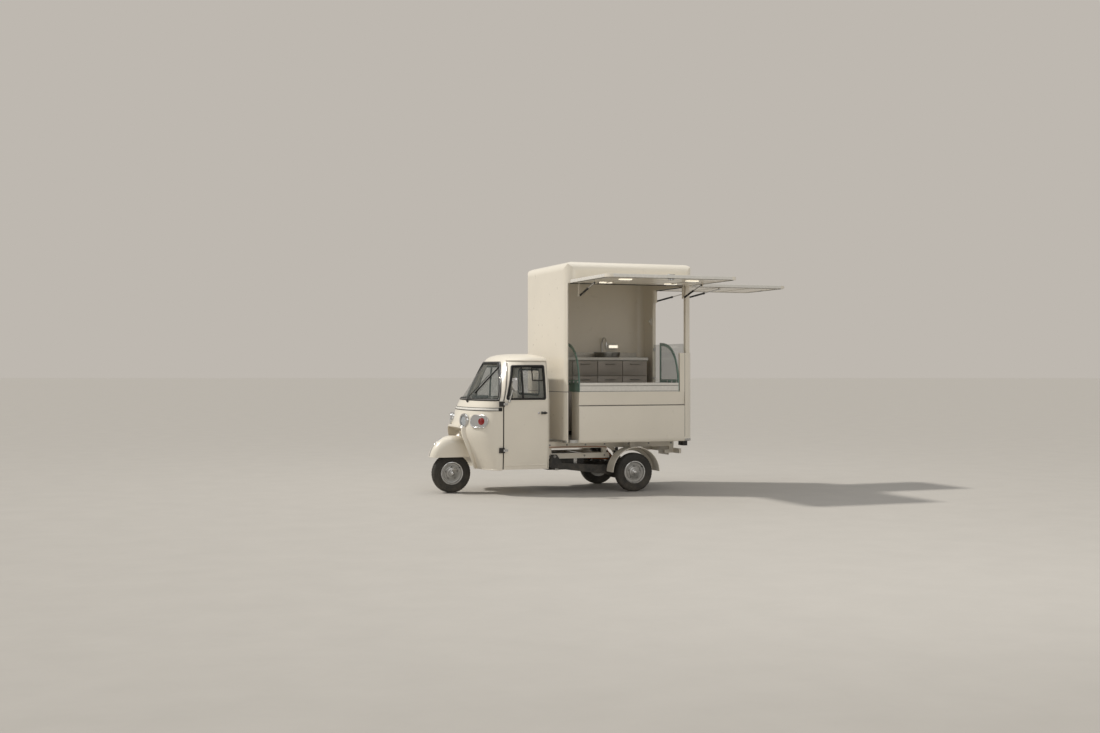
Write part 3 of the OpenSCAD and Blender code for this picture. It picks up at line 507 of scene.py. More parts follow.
def wheel(body, out):
    """Dresses one wheel; out is the side its disc faces."""
    c = WHEELS[body]
    short = body.replace("_wheel", "")
    prof = tyre_profile()
    turns = 264
    verts, faces = [], []
    for i in range(turns):
        q = 2 * pi * i / turns
        for r, y, share in prof:
            rr = r - tread_depth(i / turns, y) * share
            verts.append((c.x + rr * cos(q), c.y + y, c.z + rr * sin(q)))
    n = len(prof)
    faces = [[i * n + j, ((i + 1) % turns) * n + j, ((i + 1) % turns) * n + j + 1,
        i * n + j + 1] for i in range(turns) for j in range(n - 1)]
    faces += [[i * n + n - 1, ((i + 1) % turns) * n + n - 1, ((i + 1) % turns) * n, i * n]
              for i in range(turns)]
    Batch().add(verts, faces).done(short + "_tyre_treaded", "tyre", body, "tyre", 30, (short + "_tyre",))
    m = aim(c, (0, out, 0))
    nuts = Batch()
    for i in range(5):
        a = 2 * pi * (i + 0.25) / 5
        at = m @ Matrix.Translation((72 * cos(a), 72 * sin(a), 28.6))
        nuts.nut(at, 17, 11)
        nuts.lathe([(4.6, 12), (4.6, 17), (3.4, 18.5), (0.01, 18.5)], at, 14)
    nuts.done(short + "_wheel_nuts", "steel", body)
    cap = Batch()
    cap.lathe([(15, 59.5), (15, 62), (22, 62), (22, 64), (19.5, 68), (14, 71), (7, 72.4), (0.01, 72.8)],
              m, 40)
    cap.lathe([(124.5, 49.6), (126, 51.2), (130, 51.6), (133, 50.4), (134, 48.5)], m, 96)
    cap.done(short + "_hub_cap", "chrome", body)
    valve = Batch()
    at = m @ Matrix.Rotation(0.6, 4, "Z") @ Matrix.Translation((112, 0, 29)) @ Matrix.Rotation(0.3, 4, "Y")
    valve.lathe([(5.5, -2), (5.5, 3), (4, 6), (3.2, 14), (3.2, 22), (4.2, 22), (4.2, 31), (3, 32.5),
                 (0.01, 32.5)], at, 16)
    valve.done(short + "_valve", "rubber", body)
    drum = Batch()
    reach = -61 if body == "front_wheel" else -80
    drum.lathe([(20, -47), (92, -47), (97, -49), (97, reach + 8), (99, reach + 7), (99, reach),
                (94, reach - 1), (36, reach - 1), (36, reach), (20, reach)], m, 72)
    for i in range(36):
        a = 2 * pi * i / 36
        drum.block((96.5, -1.2, reach + 9), (100.5, 1.2, -50), 0.5, m @ Matrix.Rotation(a, 4, "Z"), 1)
    drum.done(short + "_brake_drum", "chassis_black", body)
    weights = Batch()
    for a in (1.9, 4.4):
        path = []
        for i in range(7):
            q = a + 0.2 * i / 6
            path.append((m @ Vector((128 * cos(q), 128 * sin(q), 50.5)), m.to_3x3() @ Vector((0, 0, 1))))
        weights.sweep(path, [(-4, -0.5), (-4, 3), (0, 4.2), (4, 3), (4, -0.5)])
    weights.done(short + "_balance_weights", "steel", body)


wheel("front_wheel", LEFT)
wheel("rear_left_wheel", LEFT)
wheel("rear_right_wheel", RIGHT)


# ---------------------------------------------------------------- cab outside
def nose_path(z, a0, a1, n, lift=0.0):
    """Path round the cab's front at one height, with normals that lean as the skin does."""
    out = []
    for i in range(n + 1):
        a = a0 + (a1 - a0) * i / n
        p = nose_p(z, a)
        along = nose_p(z, a + 0.02) - nose_p(z, a - 0.02)
        up = nose_p(z + 8, a) - nose_p(z - 8, a)
        normal = along.cross(up).normalized()
        if normal.dot(p - Vector((500, 0, z))) < 0:
            normal.negate()
        out.append((p + normal * lift, normal))
    return out


def nose_loop(corners, lift, r=40.0, step=26.0):
    """Closed path on the cab's front through (height, share of the way to the door edge) corners."""
    out = []
    for u, z in dense(round_outline([(share * 1000, z) for z, share in corners], r, 6), step):
        a = nose_end(z, 43) * u / 1000
        p = nose_p(z, a)
        normal = (nose_p(z, a + 0.02) - nose_p(z, a - 0.02)).cross(
            nose_p(z + 6, a) - nose_p(z - 6, a)).normalized()
        if normal.x > 0:
            normal = -normal
        out.append((p + normal * lift, normal))
    return out


# Moulding round the nose: a painted band between two dark beads, closed by a dark block at each door
MOULD_Z = 1008.0
reach = nose_end(MOULD_Z, 12)
Batch().sweep(nose_path(MOULD_Z, -reach, reach, 96, -0.5),
    [(-15, 0), (-15, 3), (-12, 5), (12, 5), (15, 3), (15, 0)]).done(
    "nose_moulding", "white_top", slot="paint")
beads = Batch()
for dz in (-15, 15):
    beads.sweep(nose_path(MOULD_Z + dz, -reach, reach, 96, -0.5), oval(8, 7, 8))
for s in SIDES:
    beads.sweep(nose_path(MOULD_Z, s * nose_end(MOULD_Z, 52), s * reach, 8, -0.5),
        [(-20, 0), (-20, 7), (-16, 10), (16, 10), (20, 7), (20, 0)])
beads.done("nose_moulding_beads", "rubber")

# Windscreen rubber: a proud outer lip, an inner lip on the glass and a bright filler between
screen = [(1116, -0.99), (1116, 0.99), (1556, 0.99), (1556, -0.99)]
Batch().sweep(nose_loop(screen, 1.0), oval(22, 9, 10), True).done("windscreen_lip", "rubber")
Batch().sweep(nose_loop([(1131, -0.955), (1131, 0.955), (1541, 0.955), (1541, -0.955)], -7.0),
              oval(12, 10, 8), True).done(
    "windscreen_inner_lip", "rubber")
Batch().sweep(nose_loop(screen, 7.5), oval(5, 4, 6), True).done("windscreen_filler", "chrome")

# Wiper: spindle on the scuttle, sprung arm and a blade lying on the glass
pivot = nose_p(1090, -0.16)
pivot_n = nose_path(1090, -0.16, -0.15, 1)[0][1]
wiper = Batch()
wiper.lathe([(13, -2), (13, 6), (10, 12), (10, 20), (6, 24), (0.01, 24)], aim(pivot, pivot_n), 24)
tip = nose_p(1400, -0.50) + nose_path(1400, -0.5, -0.49, 1)[0][1] * 20
knee = nose_p(1150, -0.20) + nose_path(1150, -0.2, -0.19, 1)[0][1] * 26
wiper.tube([pivot + pivot_n * 20, knee, knee.lerp(tip, 0.35), knee.lerp(tip, 0.7), tip],
           [6, 5.5, 4.5, 4, 3.4], 10)
wiper.done("wiper_arm", "black")
blade = Batch()
line = []
for i in range(15):
    t = i / 14
    z = 1190 + 330 * t
    a = -(0.28 + 0.40 * t)
    line.append((nose_p(z, a) + nose_path(z, a, a + 0.01, 1)[0][1] * 3, nose_path(z, a, a + 0.01, 1)[0][1]))
blade.sweep(line, [(-1.5, -8), (-5, 4), (-5, 8), (0, 10), (5, 8), (5, 4), (1.5, -8)])
blade.done("wiper_blade", "rubber")

# Rolled lip along the front wheel arch and the lower edge of the nose
for s in SIDES:
    rim = nose_path(304, s * 0.66, s * nose_end(304, 8), 20, -4)
    Batch().tube([p for p, n in rim], 7, 10).done("nose_hem_left" if s < 0 else "nose_hem_right", "paint")


TO_FRONT = Matrix.Rotation(-pi / 2, 4, "Y")


def lamp_m(s):
    return Matrix.Translation((118, s * 262, LAMP_Z)) @ Matrix.Rotation(-s * radians(14), 4, "Z") @ TO_FRONT


def pod_m(s):
    return Matrix.Translation((205, s * 500, LAMP_Z)) @ Matrix.Rotation(-s * radians(48), 4, "Z") @ TO_FRONT


for s, tag in TAGGED:
    m = lamp_m(s)
    Batch().lathe([(84, 19), (87, 22), (88, 30), (86, 40), (80, 49), (72, 53.5), (66, 54), (63, 51),
                   (62.5, 46)], m, 72).done(
        "headlamp_rim_" + tag, "chrome")
    Batch().lathe([(62, 28), (58, 18), (50, 6), (38, -3), (24, -8), (12, -9.5), (9, -9.5), (9, -9)],
                  m, 64).done("headlamp_reflector_" + tag, "mirror")
    bulb = Batch().lathe([(9, -9), (9, 2), (7, 3), (7.5, 6), (8.5, 12), (7, 18), (4, 21), (0.01, 22)], m, 24)
    bulb.done("headlamp_bulb_" + tag, "lamp")
    ribs = Batch()
    for i in range(-6, 7):
        x = i * 9.0
        h = sqrt(58.0**2 - x * x)
        pts = []
        for j in range(13):
            y = -h + 2 * h * j / 12
            pts.append(m @ Vector((y, x, -60 + sqrt(115.4**2 - x * x - y * y))))
        ribs.tube(pts, 1.6, 6)
    ribs.done("headlamp_ribs_" + tag, "lens")
    Batch().lathe([(4.5, 0), (4.5, 2), (3, 3), (0.01, 3)], m @ Matrix.Translation((-78, 0, 49)),
        14).done("headlamp_screw_" + tag, "steel")
    # Side pod: bead round the plate, rings on the red lens
    pm = pod_m(s)
    inv = pm.inverted()

    def on_nose(u, v, lift):
        """Point of the nose straight below pod coordinates."""
        best = None
        for i in range(61):
            a = s * (0.35 + 1.2 * i / 60)
            z = LAMP_Z + u
            p = nose_p(z, a)
            q = inv @ p
            if best is None or abs(q.y - v) < best[0]:
                best = (abs(q.y - v), a, z)
        lo, hi = best[1] - 0.03, best[1] + 0.03
        for _ in range(24):
            mid = (lo + hi) / 2
            if ((inv @ nose_p(best[2], mid)).y < v) == ((inv @ nose_p(best[2], hi)).y > v):
                lo = mid
            else:
                hi = mid
        n = nose_path(best[2], lo, lo + 0.01, 1)[0][1]
        return nose_p(best[2], lo) + n * lift, n

    outline = []
    for a in range(48):
        q = 2 * pi * a / 48
        v = 51 * (1 if cos(q) > 0 else -1) + 70 * cos(q)
        outline.append(on_nose(70 * sin(q), v, 9.5))
    Batch().sweep(outline, oval(12, 8, 8), True).done("pod_bead_" + tag, "chrome")
    rings = Batch()
    for r, lift in ((36, 21.5), (27, 22), (18, 22), (9, 22)):
        loop = [on_nose(r * sin(2 * pi * i / 32), s * 44 + r * cos(2 * pi * i / 32), lift)[0]
                for i in range(32)]
        rings.tube(loop, 2.2, 6, True)
    rings.done("pod_lens_rings_" + tag, "red_lens")
    Batch().tube([on_nose(42 * sin(2 * pi * i / 40), s * 44 + 42 * cos(2 * pi * i / 40), 15)[0]
                  for i in range(40)], 4, 8, True).done(
        "pod_lens_rim_" + tag, "chrome")

# Roof gutter over each door
for s, tag in TAGGED:
    rail = []
    for i in range(31):
        x = 560 + 442 * i / 30
        rail.append((side_p(x, GUTTER_Z, s, 2), side_n(x, GUTTER_Z, s)))
    Batch().sweep(rail, [(-7, -1), (-7, 6), (-4, 11), (0, 12), (2, 8), (3, 3), (5, -1)]).done(
        "roof_gutter_" + tag, "paint")

# Rear window rubber
hole = round_outline([(-380, -150), (380, -150), (380, 150), (-380, 150)], 50, 8)
rear_x = span("cab_rear_wall")[1].x
Batch().sweep([(Vector((rear_x, u, REAR_WINDOW_Z + v)), Vector((1, 0, 0))) for u, v in hole], oval(24, 7, 8),
    True).done(
    "rear_window_rubber", "rubber")
Batch().sweep([(Vector((rear_x - 26, u, REAR_WINDOW_Z + v)), Vector((-1, 0, 0))) for u, v in hole],
              oval(24, 6, 8), True).done(
    "rear_window_inner_rubber", "rubber")

# ---------------------------------------------------------------- doors
# Window rubbers, upright bar, black strip along the front edge, pressed crease at the foot, bead at the belt
DOOR_STRIPS = (
    ("window_rubber", [(490, 1128), (962, 1128), (962, 1514), (592, 1514)], -1.5, oval(24, 9, 10),
     "rubber", True),
    ("window_inner_rubber", [(505, 1134), (956, 1134), (956, 1508), (598, 1508)], -13.0, oval(14, 9, 8),
     "rubber", True),
    ("window_bar", [(690, 1130), (690, 1512)], -13.0,
     [(-10, 0), (-10, 12), (-6, 15), (6, 15), (10, 12), (10, 0)], "rubber", False),
    ("door_front_seal", [(449, 312), (449, 1100)], -1.0, oval(11, 4, 6), "rubber", False),
    ("door_upper_seal", [(452, 1108), (560, 1548)], -1.0, oval(9, 4, 6), "rubber", False),
    ("door_crease", [(470, 352), (980, 352)], -1.0, oval(16, 4.5, 8), "paint", False),
    ("door_belt_bead", [(460, 1108), (988, 1108)], -1.0, oval(16, 5, 8), "paint", False),
)
# Frame of the small sliding pane
PANE = [(818, 1345), (950, 1345), (950, 1494), (818, 1494)]


def door_path(points, s, lift, step=18.0, closed=True, r=14.0):
    """Path on a door's outer skin through (x, z) points."""
    pts = dense(round_outline(points, r, 4) if closed else list(points), step, closed)
    return [(side_p(x, z, s) + side_n(x, z, s) * lift, side_n(x, z, s)) for x, z in pts]


for s, tag in TAGGED:
    body = tag + "_door"
    for name, points, lift, section, mat, closed in DOOR_STRIPS:
        Batch().sweep(door_path(points, s, lift, closed=closed), section, closed).done(
            name + "_" + tag, mat, body)
    Batch().sweep(door_path(PANE, s, -11.0, r=10), oval(12, 9, 8), True).done(
        "sliding_pane_frame_" + tag, "rubber", body)
    # Lock, handle plates and hinge screws
    lock = Batch()
    at = side_p(880, 962, s)
    lock.lathe([(13, -1), (13, 2), (11, 4), (8, 5), (7.6, 4), (0.01, 4)], aim(at, (0, s, 0)), 28)
    lock.block((-1.2, -4.5, 3.5), (1.2, 4.5, 5), 0.4, aim(at, (0, s, 0)))
    lock.done("door_lock_" + tag, "chrome", body)
    base = Batch()
    for x in (922, 957):
        base.block((-13, -15, -1), (13, 15, 3), 1.4,
            aim(Vector((x, side_p(x, HANDLE_Z, s).y, HANDLE_Z)), (0, s, 0), (1, 0, 0)))
    base.done("handle_plates_" + tag, "rubber", body)
    Batch().tube([(902, s * 690, HANDLE_Z), (915, s * 694, HANDLE_Z), (937, s * 695, HANDLE_Z),
        (960, s * 694, HANDLE_Z),
        (972, s * 690, HANDLE_Z)], [8.5, 10.5, 11, 10.5, 8.5], 16).done("door_handle_" + tag, "black", body)
    heads = Batch()
    for z in (532, 1070):
        for dx in (14, 34):
            heads.nut(aim((452 + dx, s * 676, z), (0, s, 0)), 8, 4, 0.8)
    heads.done("door_hinge_screws_" + tag, "steel", body)
    # Mirror: glass, back shell and ball joint
    head = Vector((548, s * 770, 1300))
    ring = round_outline([(-55, -75), (55, -75), (55, 75), (-55, 75)], 25, 6)
    nr = len(ring)
    rows = [[head + Vector((depth, u * t, v * t)) for u, v in ring]
            for t, depth in ((1.02, 10), (1.04, 2), (1.02, -8), (0.92, -17), (0.70, -24), (0.35, -28),
                             (0.02, -29))]
    Batch().add([p for row in rows for p in row], quads(len(rows), nr)).done(
        "mirror_shell_" + tag, "chrome", body)
    Batch().add([head + Vector((12.6, u * 0.91, v * 0.93)) for u,
        v in ring] + [head + Vector((11.8, u * 0.94, v * 0.95)) for u, v in ring],
                [list(range(nr))] + [[j, (j + 1) % nr, nr + (j + 1) % nr,
                nr + j] for j in range(nr)]).done("mirror_glass_" + tag, "mirror", body)
    stem = Batch()
    stem.lathe([(9, -8), (11, -4), (12, 0), (11, 5), (8, 9), (0.01, 10)],
        aim((540, s * 760, 1270), (0.14, s * 0.47, 0.87)), 20)
    stem.tube([(515, s * 674, 1106), (519, s * 690, 1134), (528, s * 718, 1190), (540, s * 760, 1270)],
              8.2, 12)
    stem.lathe([(16, -6), (16, 2), (12, 6), (8, 9), (0.01, 9)], aim((515, s * 678, 1104), (0, s, 0.2)), 24)
    stem.done("mirror_stem_" + tag, "chrome", body)
    # Inside: trim card with pulls, winder and a pocket
    card = Batch()
    rows = [[side_p(480 + 26 * i, 330 + 30.2 * j, s, 36) for i in range(20)] for j in range(26)]
    card.sheet(rows, 4, lambda p: Vector((0, -s, 0)))
    card.done("door_card_" + tag, "felt", body)
    pull = Batch()
    y_in = side_p(800, 900, s, 42).y
    pull.tube([(640, y_in, 930), (644, y_in - s * 26, 936), (700, y_in - s * 34, 940),
               (770, y_in - s * 34, 940), (826, y_in - s * 26, 936), (830, y_in, 930)],
              [9, 10, 11, 11, 10, 9], 14)
    winder_m = aim((560, y_in, 820), (0, -s, 0))
    pull.lathe([(20, 0), (20, 6), (12, 9), (8, 22), (0.01, 22)], winder_m, 28)
    pull.tube([(560, y_in - s * 18, 820), (590, y_in - s * 22, 790), (618, y_in - s * 24, 764)],
              [7, 6, 6], 12)
    pull.lathe([(9, 0), (11, 4), (11, 22), (8, 28), (0.01, 28)],
               aim((618, y_in - s * 20, 764), (0, -s, 0)), 20)
    pull.done("door_pull_" + tag, "black", body)
    pocket = Batch()
    rows = [[Vector((520 + 22 * i, y_in - s * (12 + 26 * sin(pi * i / 18) ** 0.4 * (0.45 + 0.55 * j / 7)),
        360 + 24 * j)) for i in range(19)] for j in range(8)]
    pocket.sheet(rows, 4, lambda p: Vector((0, s, 0)))
    pocket.done("door_pocket_" + tag, "black", body)

# ---------------------------------------------------------------- seat
def settled(obj):
    """Gives a piece its evaluated mesh, with no modifier left."""
    bpy.context.view_layer.update()
    shape = bpy.data.meshes.new_from_object(obj.evaluated_get(bpy.context.evaluated_depsgraph_get()))
    obj.modifiers.clear()
    obj.data = shape


PAD_VOXEL_M, PAD_PRESSURE, PAD_FRAMES, PAD_CAP_M = 0.007, 4.0, 20, 0.022
CHANNELS = [-455 + 130 * i for i in range(8)]
CHANNEL_DEPTH_M, CHANNEL_SPREAD = 0.007, 8.0


def cushion(name, node, inset, face):
    """Pad swollen by cloth pressure for a CAD cushion, with sewn channels on the side towards face."""
    lo, hi = span(node)
    inset = Vector(inset)
    pad = Batch().block(lo + inset, hi - inset, 24, seg=4).done(name, "seat", "chassis", "seat", 60, (node,))
    remesh = pad.modifiers.new("remesh", "REMESH")
    remesh.mode, remesh.voxel_size = "VOXEL", PAD_VOXEL_M
    settled(pad)
    start = [v.co.copy() for v in pad.data.vertices]
    cloth = pad.modifiers.new("cloth", "CLOTH")
    cloth.settings.use_pressure = True
    cloth.settings.uniform_pressure_force = PAD_PRESSURE
    cloth.settings.effector_weights.gravity = 0.0
    cloth.point_cache.frame_start, cloth.point_cache.frame_end = 1, PAD_FRAMES
    for f in range(1, PAD_FRAMES + 1):
        scene.frame_set(f)
    settled(pad)
    scene.frame_set(1)
    for v, p in zip(pad.data.vertices, start):
        move = v.co - p
        if move.length > PAD_CAP_M:
            move *= PAD_CAP_M / move.length
        for k in range(3):
            v.co[k] = min(max(p[k] + move[k], lo[k] / 1000), hi[k] / 1000 + (0.008 if k == 2 else 0.0))
    pad.modifiers.new("finer", "SUBSURF").levels = 1
    settled(pad)
    dents = [(v.normal.dot(Vector(face)),
        min(abs(v.co.y * 1000 - y) for y in CHANNELS)) for v in pad.data.vertices]
    for v, (towards, near) in zip(pad.data.vertices, dents):
        if towards > 0.2:
            v.co -= (Vector(face) * CHANNEL_DEPTH_M * min(1, towards * 1.6)
                     * exp(-((near / CHANNEL_SPREAD) ** 2)))
    pad.data.shade_smooth()
    # Piping along the seam between the top panel and the sides
    bpy.context.view_layer.update()
    a, b = (0, 1) if face[2] else (1, 2)
    c = 3 - a - b
    flat = round_outline([(lo[a], lo[b]), (hi[a], lo[b]), (hi[a], hi[b]), (lo[a], hi[b])], 46, 8)
    loop = []
    for u, v in dense(flat, 22):
        at = Vector((0, 0, 0))
        at[a], at[b], at[c] = u, v, hi[c] - 24 if face[c] > 0 else lo[c] + 18
        loop.append(pad.closest_point_on_mesh(at / 1000)[1] * 1000)
    Batch().tube(loop, 4.2, 8, True).done(name + "_piping", "felt")


cushion("seat_bench", "seat_cushion", (16, 18, 12), (0, 0, 1))
cushion("seat_back", "seat_backrest", (9, 18, 18), (-1, 0, 0))

# ---------------------------------------------------------------- driver's place
dash_lo, dash_hi = span("dashboard")
dial_m = aim((dash_hi.x, -190, (dash_lo.z + dash_hi.z) / 2), (1, 0, 0), (0, 1, 0))
Batch().lathe([(44, -1), (46, 4), (45, 9), (41, 11), (38, 8), (37, 2)], dial_m, 48).done(
    "gauge_rim", "chrome")
Batch().lathe([(38, 0.5), (38, 2), (0.01, 2)], dial_m, 48).done("gauge_face", "dial")
marks = Batch()
for i in range(13):
    marks.block((27, -0.9, 2), (34, 0.9, 2.8), 0.3,
                dial_m @ Matrix.Rotation(radians(-30 + 20 * i), 4, "Z"), 1)
marks.lathe([(5, 2), (5, 5), (3, 6), (0.01, 6)], dial_m, 20)
marks.done("gauge_marks", "white_top")
Batch().block((-6, -1.1, 4), (29, 1.1, 5), 0.4, dial_m @ Matrix.Rotation(radians(20), 4, "Z"), 1).done(
    "gauge_needle", "red_lens")
keys = Batch()
for i in range(4):
    keys.block((dash_hi.x - 1, 110 + 44 * i, 985), (dash_hi.x + 3, 146 + 44 * i, 1020), 2)
    keys.block((dash_hi.x + 2, 115 + 44 * i, 990), (dash_hi.x + 9, 141 + 44 * i, 1015), 4)
keys.block((dash_hi.x - 1, 320, 962), (dash_hi.x + 5, 540, 1038), 6)
keys.lathe([(14, 0), (14, 6), (10, 12), (0.01, 13)], aim((dash_hi.x + 4, 430, 1018), (1, 0, 0)), 24)
keys.done("dash_switches", "black")
pedal = Batch()
pedal.tube([(470, 90, 327), (462, 90, 372), (470, 90, 410), (492, 90, 436)], [9, 8, 8, 8], 12)
pedal.block((-36, -30, -4), (36, 30, 8), 4, aim((494, 90, 442), (0.62, 0, 0.78), (0, 1, 0)))
for i in range(5):
    pedal.block((-32, -24 + 11 * i, 7), (32, -19 + 11 * i, 11), 1.2,
                aim((494, 90, 442), (0.62, 0, 0.78), (0, 1, 0)))
pedal.done("brake_pedal", "rubber")
lever = Batch()
lever.block((588, 150, 326), (668, 178, 346), 5)
lever.tube([(640, 164, 340), (610, 164, 400), (560, 164, 470), (530, 164, 512)], [9, 8, 8, 8], 12)
lever.lathe([(8, -2), (12, 2), (13, 40), (14, 90), (11, 98), (0.01, 100)],
            aim((556, 164, 476), (-0.585, 0, 0.811)), 24)
lever.done("parking_brake", "black")
matting = Batch()
matting.block((455, -430, 325), (684, 430, 330), 2)
for i in range(33):
    matting.block((462, -422 + 26 * i, 329.5), (678, -412 + 26 * i, 332.5), 1.2)
matting.done("cab_mat", "mat")
HAND = steer_m() @ Vector((0, 0, BAR_UP))
for s, tag in TAGGED:
    a, b = HAND + Vector((60, s * 90, 0)), HAND + Vector((100, s * 190, 0))
    m = aim(a, b - a, (0, 0, 1))
    reach = (b - a).length
    prof = [(15.8, 22), (17.2, 24)]
    for i in range(8):
        prof += [(17.2, 25 + 8.4 * i), (16.4, 27 + 8.4 * i), (16.4, 30 + 8.4 * i), (17.2, 32 + 8.4 * i)]
    Batch().lathe(prof + [(16.6, reach - 8), (14, reach - 6)], m, 28).done(
        "grip_" + tag, "rubber", "steering")
    control = Batch()
    control.block((-18, -18, -30), (18, 18, 12), 6, m)
    lead = (b - a).normalized()
    drop = Vector((12, 0, -34))
    control.tube([a - lead * 14, a - lead * 4 + drop * 0.8, a + lead * 30 + drop, a + lead * 66 + drop,
        a + lead * 84 + drop * 0.9], [6, 6, 5.5, 5.5, 6], 12)
    control.done("bar_control_" + tag, "black", "steering")

# ---------------------------------------------------------------- front mudguard
GUARD = Vector((20, 0, 395))
GUARD_R, GUARD_HALF, GUARD_ROUND = 288.0, 122.0, 92.0
crest = []
for i in range(29):
    q = radians(26 + 55 * i / 28)
    n = Vector((-sin(q), 0, cos(q)))
    crest.append((GUARD + n * (GUARD_R - 0.5), n))
Batch().sweep(crest, oval(18, 7, 10)).done("mudguard_crest", "chrome", "steering")


def guard_reach(y):
    flat = GUARD_HALF - GUARD_ROUND
    r = (GUARD_R if abs(y) <= flat
         else GUARD_R - GUARD_ROUND + sqrt(max(0, GUARD_ROUND**2 - (abs(y) - flat) ** 2)))
    return sqrt(r * r - 36.0**2)


across = [GUARD_HALF * sin(radians(-90 + 7.5 * i)) for i in range(25)]
loop = [(GUARD.x - guard_reach(y) + 3, y * 0.976, 433)
        for y in across] + [(GUARD.x + guard_reach(y) - 3, y * 0.976, 433) for y in across[::-1]]
Batch().tube(loop, 4.4, 8, True).done("mudguard_hem", "paint", "steering")

# ---------------------------------------------------------------- running gear
WB = WHEELS["rear_left_wheel"].x
AXLE_Z = WHEELS["rear_left_wheel"].z
DAMPER_X, DAMPER_Y, ARM_Y = WB - 130, 372, 400
coils, ends = Batch(), Batch()
for s in SIDES:
    y = s * DAMPER_Y
    coils.tube([(DAMPER_X + 42 * cos(q), y + 42 * sin(q), 346 + 132 * i / 108) for i,
        q in enumerate(2 * pi * 6 * k / 108 for k in range(109))], 6.5, 8)
    for z in (338, 480):
        ends.lathe([(20, 0), (50, 0), (52, 2), (52, 5), (50, 7), (20, 7)],
                   aim((DAMPER_X, y, z), (0, 0, 1)), 36)
    for side in (-1, 1):
        ends.nut(aim((1165, s * 392 + side * 34, 431), (0, side, 0)), 24, 12, 3)
    for dx in (-30, 30):
        ends.tube([(WB + dx, s * ARM_Y, AXLE_Z - 62), (WB + dx, s * ARM_Y, AXLE_Z + 76)], 6, 10)
        ends.nut(aim((WB + dx, s * ARM_Y, AXLE_Z + 62), (0, 0, 1)), 17, 9, 2)
coils.done("coil_springs", "black")
ends.done("suspension_fasteners", "steel")
motor = Batch()
for i in range(11):
    motor.lathe([(104, 0), (112, 1), (112, 4), (104, 5)], aim((WB, -32 + 17 * i, AXLE_Z), (0, 1, 0)), 64)
motor.block((WB - 70, 10, AXLE_Z + 92), (WB + 40, 110, AXLE_Z + 142), 8)
for i in range(8):
    q = 2 * pi * i / 8
    motor.nut(aim((WB + 74 * cos(q), -150, AXLE_Z + 74 * sin(q)), (0, -1, 0)), 10, 6, 1)
motor.done("motor_fins", "chassis_black")
loom = Batch()
for y, z in ((40, AXLE_Z + 124), (60, AXLE_Z + 120), (80, AXLE_Z + 116)):
    loom.tube([(1588, y, 380), (1660, y, 385), (1800, y, 372), (1940, y, 362), (WB - 68, y, z)], 9, 10)
loom.done("drive_leads", "copper")
straps = Batch()
for x in (1240.0, 1480.0):
    ring = [(x, -294, 258), (x, 294, 258), (x, 294, 412), (x, -294, 412)]
    for p, q in zip(ring[:3:2], ring[1::2]):
        straps.block((x - 22, min(p[1], q[1]), p[2] - 2), (x + 22, max(p[1], q[1]), p[2] + 2), 1.2)
    for y in (-292, 292):
        straps.block((x - 22, y - 2, 256), (x + 22, y + 2, 414), 1.2)
        straps.nut(aim((x, y + copysign(2, y), 400), (0, y, 0)), 13, 7, 1.5)
straps.done("battery_straps", "alloy")
bolts = Batch()
for s in SIDES:
    for x in (1125, 1345, 1585, 1835, 2150, 2420, 2725):
        bolts.nut(aim((x, s * 365, 564), (0, s, 0)), 15, 8, 2)
    for x in (1125, 1575, 1835):
        bolts.nut(aim((x, s * 358, 431), (0, s, 0)), 15, 8, 2)
bolts.done("rail_bolts", "steel")
Batch().tube([(1014, -371, 540), (1300, -371, 540), (1700, -371, 538), (1850, -371, 530), (1880, -374, 470),
    (1930, -380, 380), (2050, -396, 320)], 4, 8).done("brake_pipe", "copper")
hems = Batch()
for s in SIDES:
    for y in (-95, 95):
        hems.tube([(WB + 303 * cos(q), s * 580 + y,
            AXLE_Z + 303 * sin(q)) for q in (radians(2 + 176 * i / 48) for i in range(49))], 4.5, 8)
hems.done("rear_mudguard_hems", "paint")

# Rear lamps and the blank plate
tail_lo, tail_hi = span("tail_lamps")
for s, tag in TAGGED:
    y = s * (BOX_HALF - 145)
    m = aim((tail_hi.x - 2, y, (tail_lo.z + tail_hi.z) / 2), (1, 0, 0))
    Batch().lathe([(25, -12), (27, 0), (27, 2), (24, 5), (16, 7), (8, 8), (0.01, 8.4)], m,
        40).done("tail_lens_" + tag, "red_lens")
    Batch().block((tail_hi.x - 17, y + s * 34 - 20, tail_lo.z + 12),
                  (tail_hi.x - 8, y + s * 34 + 24, tail_hi.z - 12), 4).done(
        "turn_lens_" + tag, "amber_lens")
bumper_hi = span("rear_bumper")[1]
Batch().block((bumper_hi.x - 0.5, -142, BOX_BOTTOM - 198), (bumper_hi.x + 1.5, 142, BOX_BOTTOM - 82),
    0.9).done("plate_face", "plate")
studs = Batch()
for y in (-60, 60):
    studs.nut(aim((bumper_hi.x + 1.5, y, BOX_BOTTOM - 140), (1, 0, 0)), 9, 4, 1)
studs.done("plate_screws", "steel")

# ---------------------------------------------------------------- sales body
OPEN_X0 = BOX_FRONT + 30
BACK_Y0, BACK_Y1 = span("rear_glass")[0].y, span("rear_glass")[1].y
LEFT_CUT = acos((CORNER_R - 30) / CORNER_R)


